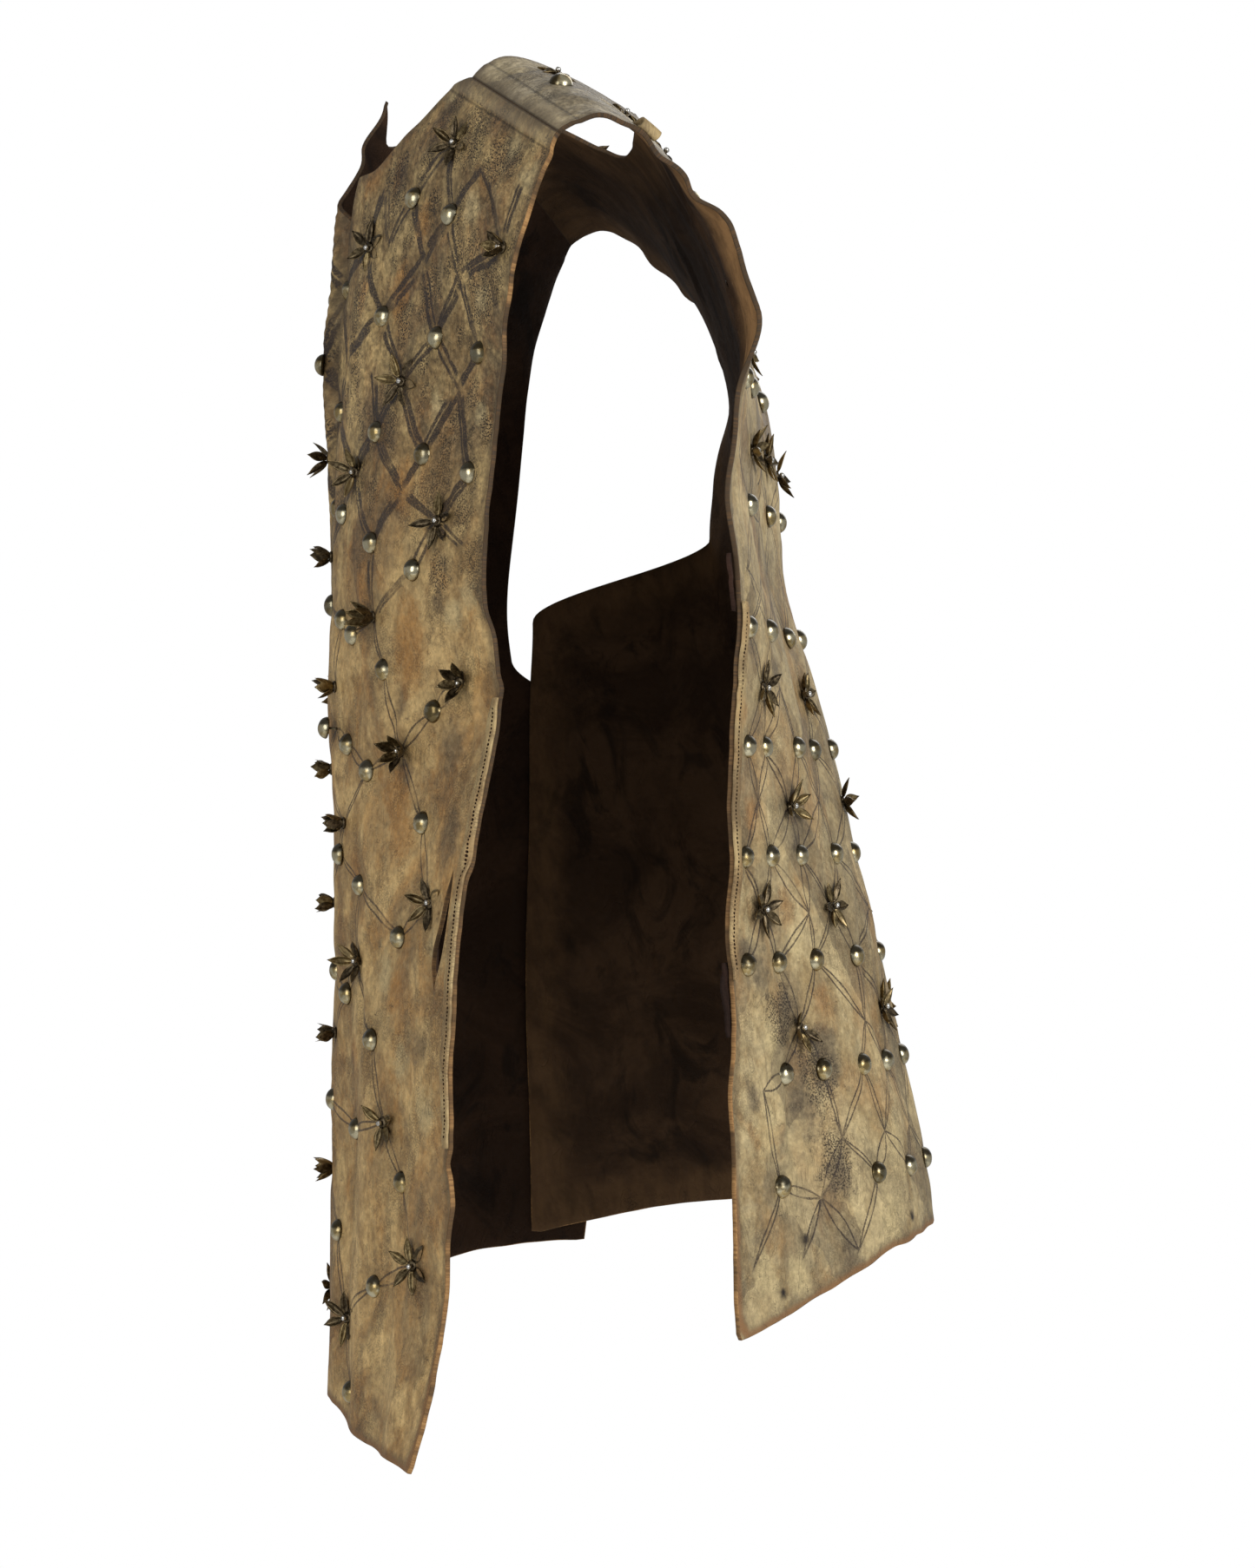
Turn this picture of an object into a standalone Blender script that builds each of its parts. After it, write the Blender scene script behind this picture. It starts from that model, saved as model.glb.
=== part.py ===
"""Sleeveless studded leather tunic, in the shape that it has when it is worn.

Two leather panels meet at the shoulders. The wearer's left side is open from shoulder to hem, and on the
right the back panel passes inside the front one below the armhole. +X is the wearer's left, -Y the front,
and the origin is halfway between the shoulders, at the height where they carry the leather.

A place on a panel is given as on the flat leather: across, from the middle towards the wearer's left, and
down, from the shoulder seam. Lengths are in metres.
"""
import math
from collections import namedtuple

import bmesh
import bpy
import numpy as np
from mathutils import Vector
from mathutils.geometry import delaunay_2d_cdt

LEATHER = 0.003
SEAM_GAP = 0.0003
LAYER_GAP = 0.0009
CLOSE_GAP = 0.0005
TAB_HEIGHT = 0.0075
MESH_PITCH = 0.034
EDGE_PITCH = 0.028
FEATURE_MARGIN = 0.008
SEAM_BLEND = 0.03
CIRCLE_HANDLE = 0.5523
OPEN_SIDE_HANDLE = 0.30
OPEN_SIDE_ROUND = 0.10
ROW_STATION = 0.6
ARC_STEPS = 49

STUD_RADIUS = 0.007
STUD_HEIGHT = 0.0056
STUD_SIDES = 8
PETALS = 6
PETAL_REACH = 0.018
PETAL_NOTCH = 0.0065
PETAL_LIFT = 0.0065
PETAL_EDGE = 0.0012
HUB_LIFT = 0.0035

NECK_HALF = 0.104
SLIT_DEPTH = 0.104
FLAP_FORWARD = 0.034
FLAP_UP = -0.006
FLAP_CENTRE = (-0.045, 0.005)
FLAP_RADIUS = 0.062
SLIT_STEP = 0.013
SLIT_STEP_RUN = 0.012
SLIT_STEP_WIDTH = (0.060, 0.150)
SLIT_STEP_TOP = (0.040, 0.080)
SLIT_STEP_FADE = (0.160, 0.320)
CURL_OUT = 0.012
CURL_REACH = 0.016
CURL_RANGE = (0.100, 0.300)
ARMPIT_START = 0.335
ARMPIT_END = 0.395
FRONT_OVERLAP = 0.077
BACK_OVERLAP = 0.130

STRIP_WIDTH = 0.009
STRIP_OVERHANG = 0.0012
STRIP_THICKNESS = 0.0018

Section = namedtuple("Section", "centre_y centre_z near_x near_y near_z far_x round")
Fold = namedtuple("Fold", "across top bottom lean width depth")
StudRow = namedtuple("StudRow", "down slope across")
Flower = namedtuple("Flower", "across down spread")
Panel = namedtuple("Panel", "name out sections folds stations slopes overlap")

FRONT_SECTIONS = [
    Section(-0.115, 0.071, 0.200, -0.020, -0.026, 0.2000, 0.00),
    Section(-0.131, 0.044, 0.200, -0.030, -0.048, 0.2000, 0.02),
    Section(-0.145, 0.018, 0.200, -0.036, -0.066, 0.2000, 0.05),
    Section(-0.150, -0.006, 0.199, -0.042, -0.085, 0.2000, 0.12),
    Section(-0.154, -0.032, 0.198, -0.047, -0.105, 0.1995, 0.30),
    Section(-0.156, -0.065, 0.196, -0.050, -0.128, 0.1985, 0.50),
    Section(-0.159, -0.105, 0.194, -0.052, -0.152, 0.1975, 0.70),
    Section(-0.163, -0.155, 0.190, -0.055, -0.190, 0.1975, 0.85),
    Section(-0.167, -0.215, 0.188, -0.060, -0.236, 0.1985, 0.92),
    Section(-0.169, -0.285, 0.186, -0.063, -0.292, 0.2000, 0.97),
    Section(-0.168, -0.345, 0.188, -0.057, -0.345, 0.2015, 1.00),
    Section(-0.167, -0.430, 0.192, -0.068, -0.430, 0.2015, 1.00),
    Section(-0.166, -0.530, 0.196, -0.080, -0.530, 0.2015, 1.00),
    Section(-0.166, -0.600, 0.198, -0.082, -0.600, 0.2015, 1.00),
    Section(-0.168, -0.690, 0.200, -0.084, -0.690, 0.2015, 1.00),
    Section(-0.169, -0.745, 0.200, -0.092, -0.745, 0.2015, 1.00),
    Section(-0.170, -0.800, 0.200, -0.105, -0.800, 0.2015, 1.00),
]
BACK_SECTIONS = [
    Section(-0.115, 0.071, 0.200, -0.020, -0.026, 0.2000, 0.00),
    Section(-0.093, 0.084, 0.200, 0.002, -0.015, 0.2000, 0.00),
    Section(-0.057, 0.076, 0.200, 0.022, -0.022, 0.2000, 0.00),
    Section(-0.018, 0.058, 0.200, 0.038, -0.036, 0.2000, 0.02),
    Section(0.020, 0.030, 0.200, 0.051, -0.052, 0.2000, 0.10),
    Section(0.052, -0.020, 0.200, 0.062, -0.066, 0.2000, 0.30),
    Section(0.073, -0.062, 0.200, 0.070, -0.084, 0.2000, 0.50),
    Section(0.090, -0.110, 0.200, 0.081, -0.112, 0.1995, 0.50),
    Section(0.104, -0.155, 0.199, 0.087, -0.156, 0.1985, 0.55),
    Section(0.112, -0.190, 0.198, 0.082, -0.191, 0.1980, 0.60),
    Section(0.117, -0.240, 0.196, 0.079, -0.240, 0.1970, 0.70),
    Section(0.121, -0.282, 0.195, 0.084, -0.282, 0.1965, 0.80),
    Section(0.134, -0.325, 0.194, 0.083, -0.325, 0.1965, 0.90),
    Section(0.160, -0.425, 0.193, 0.082, -0.425, 0.1965, 1.00),
    Section(0.178, -0.495, 0.193, 0.080, -0.495, 0.1965, 1.00),
    Section(0.195, -0.570, 0.194, 0.080, -0.570, 0.1965, 1.00),
    Section(0.208, -0.630, 0.195, 0.082, -0.630, 0.1965, 1.00),
    Section(0.217, -0.680, 0.196, 0.083, -0.680, 0.1965, 1.00),
    Section(0.224, -0.730, 0.197, 0.084, -0.730, 0.1965, 1.00),
]

FRONT_FOLDS = [
    Fold(across=0.050, top=0.20, bottom=0.78, lean=0.015, width=0.022, depth=-0.0045),
    Fold(across=0.152, top=0.52, bottom=0.84, lean=-0.020, width=0.024, depth=-0.0040),
    Fold(across=0.190, top=0.09, bottom=0.30, lean=-0.030, width=0.020, depth=-0.0035),
    Fold(across=-0.070, top=0.24, bottom=0.80, lean=-0.015, width=0.024, depth=-0.0050),
    Fold(across=-0.160, top=0.10, bottom=0.33, lean=0.025, width=0.022, depth=-0.0040),
    Fold(across=-0.150, top=0.46, bottom=0.84, lean=0.010, width=0.026, depth=-0.0045),
]
BACK_FOLDS = [
    Fold(across=0.055, top=0.22, bottom=0.62, lean=0.020, width=0.024, depth=-0.0045),
    Fold(across=0.145, top=0.56, bottom=0.86, lean=0.030, width=0.026, depth=-0.0045),
    Fold(across=0.030, top=0.55, bottom=0.86, lean=0.000, width=0.028, depth=-0.0050),
    Fold(across=-0.080, top=0.24, bottom=0.66, lean=-0.020, width=0.026, depth=-0.0050),
    Fold(across=-0.170, top=0.50, bottom=0.86, lean=-0.020, width=0.028, depth=-0.0045),
]

FRONT_HEM = [
    (-0.310, 0.738), (-0.250, 0.742), (-0.205, 0.752), (-0.150, 0.776), (-0.090, 0.794), (0.000, 0.803),
    (0.024, 0.805), (0.050, 0.808), (0.075, 0.814), (0.101, 0.816), (0.145, 0.818), (0.214, 0.819),
]
BACK_HEM = [
    (-0.395, 0.822), (-0.330, 0.806), (-0.270, 0.798), (-0.180, 0.790), (-0.080, 0.788), (0.000, 0.788),
    (0.029, 0.788), (0.080, 0.792), (0.122, 0.802), (0.152, 0.810), (0.180, 0.819), (0.218, 0.828),
    (0.249, 0.831),
]
FRONT_NECKLINE = [
    (-0.090, 0.012), (-0.068, 0.016), (-0.045, 0.008), (-0.030, 0.040), (-0.017, 0.068), (-0.009, 0.084),
    (0.000, SLIT_DEPTH), (0.003, 0.092), (0.006, 0.079), (0.030, 0.071), (0.049, 0.056), (0.066, 0.038),
    (0.076, 0.020), (0.086, 0.009),
]
BACK_NECKLINE = [
    (-0.102, 0.025), (-0.106, 0.045), (-0.104, 0.072), (-0.088, 0.095), (-0.060, 0.108), (-0.030, 0.114),
    (0.000, 0.116), (0.030, 0.114), (0.060, 0.108), (0.086, 0.094), (0.102, 0.074), (0.108, 0.045),
    (0.102, 0.022),
]
RIP = [
    (0.2012, 0.472), (0.2016, 0.490), (0.2004, 0.507), (0.1978, 0.524), (0.1905, 0.545), (0.1910, 0.526),
    (0.1940, 0.508), (0.1970, 0.490),
]

FRONT_STUDS = [
    StudRow(down=0.078, slope=0.00, across=(0.095, 0.146, -0.100, -0.152)),
    StudRow(down=0.137, slope=0.00, across=(0.000, -0.026)),
    StudRow(down=0.144, slope=0.06, across=(0.076, 0.148, 0.198, -0.068, -0.114, -0.165, -0.212)),
    StudRow(down=0.174, slope=0.00, across=(-0.012,)),
    StudRow(down=0.203, slope=0.16, across=(0.010, 0.084, 0.144, 0.194, -0.050, -0.105, -0.150, -0.200)),
    StudRow(down=0.256, slope=0.31, across=(0.000, 0.035, 0.089, 0.140, -0.050, -0.095, -0.148, -0.196)),
    StudRow(down=0.312, slope=0.48, across=(0.004, 0.040, 0.059, 0.105, 0.159, -0.042, -0.100, -0.155,
            -0.205)),
    StudRow(down=0.384, slope=0.46, across=(0.026, 0.048, 0.084, 0.152, -0.026, -0.080, -0.145, -0.200)),
    StudRow(down=0.458, slope=0.48, across=(0.036, 0.074, 0.135, -0.050, -0.105, -0.160, -0.215)),
    StudRow(down=0.539, slope=0.44, across=(0.016, 0.049, 0.105, -0.030, -0.085, -0.140, -0.190)),
    StudRow(down=0.620, slope=0.30, across=(0.016, 0.066, 0.147, -0.045, -0.100, -0.160, -0.220)),
    StudRow(down=0.694, slope=0.31, across=(0.038, 0.116, -0.055, -0.120, -0.190)),
    StudRow(down=0.794, slope=0.00, across=(0.075,)),
    StudRow(down=0.762, slope=0.00, across=(-0.060,)),
]
BACK_STUDS = [
    StudRow(down=0.032, slope=0.00, across=(0.171, -0.174)),
    StudRow(down=0.150, slope=0.00, across=(0.030, 0.085, 0.140, -0.030, -0.085, -0.140)),
    StudRow(down=0.215, slope=0.00, across=(0.000, 0.055, 0.110, 0.155, -0.055, -0.110, -0.160)),
    StudRow(down=0.268, slope=0.00, across=(0.024, 0.110, 0.158, -0.070, -0.110, -0.160)),
    StudRow(down=0.341, slope=0.00, across=(0.000, 0.052, 0.134, -0.038, -0.075, -0.130, -0.181)),
    StudRow(down=0.416, slope=0.00, across=(0.000, 0.048, 0.124, 0.175, -0.060, -0.122, -0.174, -0.240)),
    StudRow(down=0.486, slope=0.00, across=(0.010, 0.057, 0.103, 0.153, 0.183, -0.035, -0.075, -0.124,
            -0.175, -0.235)),
    StudRow(down=0.551, slope=0.00, across=(0.020, 0.067, 0.121, 0.161, 0.193, -0.025, -0.078, -0.130,
            -0.178, -0.260)),
    StudRow(down=0.614, slope=0.00, across=(0.004, 0.073, 0.122, 0.165, 0.200, -0.040, -0.085, -0.130,
            -0.180, -0.240)),
    StudRow(down=0.680, slope=0.00, across=(0.000, 0.045, 0.087, 0.131, 0.171, -0.100, -0.145, -0.190,
            -0.265)),
    StudRow(down=0.746, slope=0.00, across=(0.000, 0.045, 0.092, 0.187, -0.055, -0.105, -0.160, -0.230)),
]
FRONT_FLOWERS = [
    Flower(0.123, 0.039, 0.9), Flower(0.042, 0.114, 1.0), Flower(0.221, 0.083, 0.7),
    Flower(0.111, 0.182, 1.0),
    Flower(0.052, 0.237, 0.8), Flower(0.164, 0.263, 0.9), Flower(0.004, 0.284, 0.8),
    Flower(0.091, 0.321, 0.5),
    Flower(0.182, 0.362, 0.6), Flower(0.025, 0.361, 0.6), Flower(0.124, 0.402, 0.6),
    Flower(0.002, 0.412, 0.7),
    Flower(0.045, 0.446, 0.5), Flower(0.170, 0.492, 0.9), Flower(0.004, 0.497, 0.9),
    Flower(0.068, 0.531, 0.7),
    Flower(0.021, 0.578, 0.7), Flower(0.122, 0.625, 0.9), Flower(0.009, 0.664, 0.9),
    Flower(0.173, 0.704, 1.0),
    Flower(0.059, 0.751, 0.9), Flower(-0.124, 0.039, 0.9), Flower(-0.095, 0.108, 1.0),
    Flower(-0.172, 0.185, 0.9),
    Flower(-0.020, 0.226, 0.7), Flower(-0.100, 0.243, 0.8), Flower(-0.068, 0.300, 0.9),
    Flower(-0.185, 0.345, 0.9),
    Flower(-0.055, 0.365, 0.7), Flower(-0.110, 0.395, 0.9), Flower(-0.170, 0.478, 0.8),
    Flower(-0.068, 0.522, 0.8),
    Flower(-0.205, 0.580, 0.9), Flower(-0.060, 0.595, 0.8), Flower(-0.140, 0.710, 0.8),
    Flower(-0.028, 0.745, 0.9),
]
BACK_FLOWERS = [
    Flower(0.130, 0.044, 0.8), Flower(0.132, 0.086, 0.6), Flower(0.122, 0.119, 0.7),
    Flower(-0.128, 0.060, 0.8),
    Flower(-0.115, 0.118, 0.8), Flower(0.030, 0.185, 0.9), Flower(-0.060, 0.182, 0.9),
    Flower(0.085, 0.244, 0.9),
    Flower(-0.035, 0.245, 0.9), Flower(0.046, 0.306, 0.9), Flower(-0.001, 0.312, 0.8),
    Flower(0.110, 0.306, 0.8),
    Flower(-0.100, 0.308, 0.9), Flower(-0.090, 0.378, 0.9), Flower(0.155, 0.451, 0.9),
    Flower(0.049, 0.452, 0.9),
    Flower(-0.098, 0.452, 0.9), Flower(0.128, 0.522, 0.8), Flower(0.019, 0.519, 0.8),
    Flower(-0.100, 0.518, 0.9),
    Flower(0.178, 0.582, 0.9), Flower(0.091, 0.583, 0.9), Flower(-0.055, 0.582, 0.9),
    Flower(-0.208, 0.585, 0.8),
    Flower(-0.040, 0.650, 0.9), Flower(0.031, 0.648, 0.9), Flower(0.148, 0.654, 0.8),
    Flower(-0.155, 0.647, 0.9),
]

COLOURS = {
    "olive_leather": ((0.30, 0.22, 0.13), 0.75, 0.0),
    "edge_leather": ((0.36, 0.25, 0.15), 0.70, 0.0),
    "dark_suede": ((0.08, 0.04, 0.02), 0.90, 0.0),
}


def clear_scene():
    for old in list(bpy.data.objects):
        bpy.data.objects.remove(old, do_unlink=True)


def material(name):
    """One Principled material for each finish."""
    found = bpy.data.materials.get(name)
    if found:
        return found
    colour, roughness, metallic = COLOURS[name]
    made = bpy.data.materials.new(name)
    made.use_nodes = True
    shader = made.node_tree.nodes["Principled BSDF"]
    shader.inputs["Base Color"].default_value = (*colour, 1.0)
    shader.inputs["Roughness"].default_value = roughness
    shader.inputs["Metallic"].default_value = metallic
    return made


# The drape: from the flat leather to its place on the wearer

def spline_slopes(stations, rows):
    """Slopes of the smooth cubic through the section rows."""
    count = len(stations)
    step = np.diff(stations)
    left = np.zeros((count, count))
    right = np.zeros_like(rows)
    left[0, :2] = 2, 1
    right[0] = 3 * (rows[1] - rows[0]) / step[0]
    left[-1, -2:] = 1, 2
    right[-1] = 3 * (rows[-1] - rows[-2]) / step[-1]
    for i in range(1, count - 1):
        left[i, i - 1:i + 2] = step[i], 2 * (step[i - 1] + step[i]), step[i - 1]
        before = (rows[i] - rows[i - 1]) / step[i - 1]
        after = (rows[i + 1] - rows[i]) / step[i]
        right[i] = 3 * (before * step[i] + after * step[i - 1])
    return np.linalg.solve(left, right)


def section_point(row, share, far):
    """A point on a cross-section, from its middle (share 0) to its edge (share 1).

    The closed side wraps the wearer, and the open side hangs nearly flat up to its edge.
    """
    share = share[..., None]
    edge_x = np.where(far, row[..., 5], row[..., 2])
    middle = np.stack([np.zeros_like(edge_x), row[..., 0], row[..., 1]], -1)
    edge = np.stack([edge_x, row[..., 3], row[..., 4]], -1)
    bulge = row[..., 6:7]
    reach = np.where(far[..., None], CIRCLE_HANDLE, OPEN_SIDE_HANDLE)
    edge_bulge = bulge * np.where(far[..., None], 1.0, OPEN_SIDE_ROUND)
    straight_1 = middle + (edge - middle) / 3
    straight_2 = middle + (edge - middle) * 2 / 3
    round_1 = middle + (edge - middle) * np.array([1.0, 0, 0]) * reach
    round_2 = edge + (middle - edge) * np.array([0, CIRCLE_HANDLE, CIRCLE_HANDLE])
    handle_1 = straight_1 + (round_1 - straight_1) * bulge
    handle_2 = straight_2 + (round_2 - straight_2) * edge_bulge
    rest = 1 - share
    inner = rest**3 * middle + 3 * share * rest**2 * handle_1
    return inner + 3 * share**2 * rest * handle_2 + share**3 * edge


def make_panel(name, out, sections, folds, overlap):
    """A panel's sections as rows, with how far down the leather each one lies."""
    rows = np.array(sections)
    middle = section_point(rows, np.full(len(rows), ROW_STATION), np.zeros(len(rows), bool))
    lengths = np.linalg.norm(np.diff(middle, axis=0), axis=1)
    stations = np.concatenate([[0], np.cumsum(lengths)])
    return Panel(name, out, rows, folds, stations, spline_slopes(stations, rows), overlap)


def row_at(panel, down):
    """The section at a distance down the leather."""
    index = np.clip(np.searchsorted(panel.stations, down) - 1, 0, len(panel.stations) - 2)
    step = panel.stations[index + 1] - panel.stations[index]
    t = ((down - panel.stations[index]) / step)[..., None]
    step = step[..., None]
    start, end = panel.sections[index], panel.sections[index + 1]
    slope_0, slope_1 = panel.slopes[index] * step, panel.slopes[index + 1] * step
    return ((2 * t**3 - 3 * t**2 + 1) * start + (t**3 - 2 * t**2 + t) * slope_0
            + (3 * t**2 - 2 * t**3) * end + (t**3 - t**2) * slope_1)


def section_arcs(panel, down, far):
    """The points of each section and the length along the leather to each of them."""
    shares = np.linspace(0, 1, ARC_STEPS)
    row = row_at(panel, down)[..., None, :]
    row = np.repeat(row, ARC_STEPS, axis=-2)
    points = section_point(row, np.broadcast_to(shares, row.shape[:-1]), far[..., None])
    steps = np.linalg.norm(np.diff(points, axis=-2), axis=-1)
    lengths = np.concatenate([np.zeros(steps.shape[:-1] + (1,)), np.cumsum(steps, axis=-1)], axis=-1)
    return points, lengths


def half_width(panel, down, far=False):
    """The length along the leather from the middle to the side edge."""
    down = np.atleast_1d(np.asarray(down, float))
    return section_arcs(panel, down, np.full(down.shape, far))[1][..., -1]


def smooth_step(x):
    x = np.clip(x, 0, 1)
    return x * x * (3 - 2 * x)


def surface(panel, across, down):
    """Where a place on the flat leather lies on the wearer, before the folds."""
    far = across < 0
    points, lengths = section_arcs(panel, down, far)
    reach = np.abs(across)
    total = lengths[..., -1]
    inside = np.minimum(reach, total)
    index = np.clip((lengths < inside[..., None]).sum(-1) - 1, 0, ARC_STEPS - 2)
    picked = np.arange(len(across))
    start, end = lengths[picked, index], lengths[picked, index + 1]
    t = ((inside - start) / (end - start))[:, None]
    place = points[picked, index] * (1 - t) + points[picked, index + 1] * t
    along = points[:, -1] - points[:, -2]
    along[far, 0] = 0
    along /= np.linalg.norm(along, axis=1)[:, None]
    place = place + along * (reach - inside)[:, None]
    place[:, 0] *= np.where(far, -1, 1)
    return place


def surface_normal(panel, across, down):
    """The outward direction of a panel's plain surface."""
    tiny = 0.0008
    sideways = surface(panel, across + tiny, down) - surface(panel, across - tiny, down)
    downwards = surface(panel, across, down + tiny) - surface(panel, across, down - tiny)
    normal = np.cross(sideways, downwards) * panel.out
    return normal / np.linalg.norm(normal, axis=1)[:, None]


def seam_normal(across):
    """The direction shared by both panels along the shoulder seam."""
    start = np.zeros_like(across)
    both = surface_normal(FRONT, across, start) + surface_normal(BACK, across, start)
    return both / np.linalg.norm(both, axis=1)[:, None]


def outward(panel, across, down):
    """The outward direction, turned into the seam's own near the shoulder."""
    own = surface_normal(panel, across, down)
    share = smooth_step(down / SEAM_BLEND)[:, None]
    mixed = own * share + seam_normal(across) * (1 - share)
    return mixed / np.linalg.norm(mixed, axis=1)[:, None]


def fold_depth(panel, across, down):
    """How far the large soft folds move the leather out."""
    depth = np.zeros_like(across)
    for fold in panel.folds:
        t = (down - fold.top) / (fold.bottom - fold.top)
        middle = fold.across + fold.lean * t
        along = np.sin(math.pi * np.clip(t, 0, 1)) ** 2 if fold.bottom < 0.75 else smooth_step(t * 1.6)
        depth += fold.depth * along * np.exp(-((across - middle) / fold.width) ** 2)
    return depth


def ramp(value, limits):
    """A smooth rise from 0 to 1 between two limits."""
    return smooth_step((value - limits[0]) / (limits[1] - limits[0]))


def slit_shift(panel, across, down):
    """On the wearer's right of the neck slit the leather stands forward, and its corner points up."""
    if panel.out > 0:
        return np.zeros((len(across), 3))
    right = smooth_step(-across / SLIT_STEP_RUN)
    away = np.hypot(across - FLAP_CENTRE[0], down - FLAP_CENTRE[1]) / FLAP_RADIUS
    flap = right * smooth_step(1 - away)
    along = ramp(down, SLIT_STEP_TOP) * (1 - ramp(down, SLIT_STEP_FADE))
    step = right * (1 - ramp(-across, SLIT_STEP_WIDTH)) * along
    return (flap[:, None] * np.array([0.0, -FLAP_FORWARD, FLAP_UP])
            + step[:, None] * np.array([0.0, -SLIT_STEP, 0.0]))


def armhole_curl(panel, across, down):
    """The back armhole edge curls outwards on both sides, so that its inner face shows."""
    if panel.out < 0:
        return np.zeros(len(across))
    t = (down - CURL_RANGE[0]) / (CURL_RANGE[1] - CURL_RANGE[0])
    window = np.sin(math.pi * np.clip(t, 0, 1)) ** 2
    inward = np.where(across > 0, half_width(panel, down), half_width(panel, down, True)) - np.abs(across)
    return CURL_OUT * window * np.exp(-np.maximum(inward, 0) / CURL_REACH)


def drape(panel, across, down, lift=0.0):
    """Points of the worn panel, moved out by lift."""
    across = np.asarray(across, float)
    down = np.asarray(down, float)
    direction = outward(panel, across, down)
    height = fold_depth(panel, across, down) + armhole_curl(panel, across, down) + lift
    place = surface(panel, across, down) + slit_shift(panel, across, down)
    return place + direction * np.asarray(height)[..., None]


# Outlines on the flat leather

def hem_down(panel, across):
    table = np.array(FRONT_HEM if panel.out < 0 else BACK_HEM)
    return np.interp(across, table[:, 0], table[:, 1])


def far_edge(panel, down):
    """The edge on the wearer's right, which steps out below the armhole to lap over the other panel."""
    step = smooth_step((down - ARMPIT_START) / (ARMPIT_END - ARMPIT_START))
    return -half_width(panel, down, True) - panel.overlap * step


def edge_rows(panel, side):
    """Heights down a side edge, from the seam to the hem."""
    bottom = 0.8
    for _ in range(6):
        edge = half_width(panel, bottom)[0] if side > 0 else far_edge(panel, np.array([bottom]))[0]
        bottom = hem_down(panel, edge)
    count = round(bottom / EDGE_PITCH)
    return np.linspace(SEAM_GAP, bottom, count + 1)


def outline(panel):
    """The panel's cut edge, once round."""
    near_downs = edge_rows(panel, 1)
    near = np.stack([half_width(panel, near_downs), near_downs], 1)
    far_downs = edge_rows(panel, -1)[::-1]
    far = np.stack([far_edge(panel, far_downs), far_downs], 1)
    count = round((near[-1, 0] - far[0, 0]) / EDGE_PITCH)
    hem_across = np.linspace(near[-1, 0], far[0, 0], count + 1)[1:-1]
    hem = np.stack([hem_across, hem_down(panel, hem_across)], 1)
    seam = np.linspace(NECK_HALF, near[0, 0], 6)[:-1]
    near_seam = np.stack([seam, np.full_like(seam, SEAM_GAP)], 1)
    far_seam = np.stack([-seam[::-1], np.full_like(seam, SEAM_GAP)], 1)
    neck = np.array(FRONT_NECKLINE if panel.out < 0 else BACK_NECKLINE)
    return np.concatenate([near_seam, near, hem, far, far_seam, neck])


# Studs and flowers raised in the outer face

def local_frame(panel, across, down):
    """At one place: its point, the outward direction and how the flat directions run there."""
    at = np.array([across]), np.array([down])
    tiny = 0.001
    sideways = (drape(panel, at[0] + tiny, at[1]) - drape(panel, at[0] - tiny, at[1]))[0] / (2 * tiny)
    downwards = (drape(panel, at[0], at[1] + tiny) - drape(panel, at[0], at[1] - tiny))[0] / (2 * tiny)
    normal = outward(panel, *at)[0]
    return drape(panel, *at)[0], normal, sideways, downwards


def flat_offset(sideways, downwards, shift):
    """The step on the flat leather that makes a given step on the worn surface."""
    axes = np.stack([sideways, downwards], 1)
    return np.linalg.lstsq(axes, shift, rcond=None)[0]


def feature_ring(panel, across, down, radii, turn):
    """A ring of places round one stud or flower, with true radii on the worn surface."""
    place, normal, sideways, downwards = local_frame(panel, across, down)
    first = sideways / np.linalg.norm(sideways)
    second = np.cross(normal, first)
    ring = []
    for k, radius in enumerate(radii):
        angle = turn + 2 * math.pi * k / len(radii)
        shift = radius * (math.cos(angle) * first + math.sin(angle) * second)
        ring.append(np.array([across, down]) + flat_offset(sideways, downwards, shift))
    return np.array(ring), place, normal, first, second


def stud(panel, across, down):
    """A domed stud: its base ring on the leather, and the rings raised over it."""
    radii = [STUD_RADIUS] * STUD_SIDES
    ring, place, normal, first, second = feature_ring(panel, across, down, radii, 0.3)
    shoulder = []
    for k in range(STUD_SIDES):
        angle = 0.3 + 2 * math.pi * k / STUD_SIDES
        rim = 0.74 * STUD_RADIUS * (math.cos(angle) * first + math.sin(angle) * second)
        shoulder.append(place + rim + normal * STUD_HEIGHT * 0.68)
    return ring, [shoulder], place + normal * STUD_HEIGHT


def flower(panel, item, turn):
    """A six-petalled flower: pointed petals that rise from a low hub."""
    reach = PETAL_REACH * item.spread
    notch = PETAL_NOTCH * (0.6 + 0.4 * item.spread)
    radii = [reach, notch] * PETALS
    ring, place, normal, first, second = feature_ring(panel, item.across, item.down, radii, turn)
    tip_lift = PETAL_LIFT * (2.0 - item.spread)
    top = []
    for k, radius in enumerate(radii):
        angle = turn + math.pi * k / PETALS
        inner = (radius - PETAL_EDGE) * (math.cos(angle) * first + math.sin(angle) * second)
        lift = tip_lift if k % 2 == 0 else HUB_LIFT
        top.append(place + inner + normal * lift)
    return ring, [top], place + normal * (HUB_LIFT + 0.002)


def features(panel):
    """Every stud and flower of a panel."""
    stud_rows = FRONT_STUDS if panel.out < 0 else BACK_STUDS
    flowers = FRONT_FLOWERS if panel.out < 0 else BACK_FLOWERS
    made = []
    for row in stud_rows:
        for across in row.across:
            made.append(stud(panel, across, row.down + row.slope * max(abs(across) - 0.02, 0.0)))
    for k, item in enumerate(flowers):
        made.append(flower(panel, item, 0.7 * k))
    return made


# Solids

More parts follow.
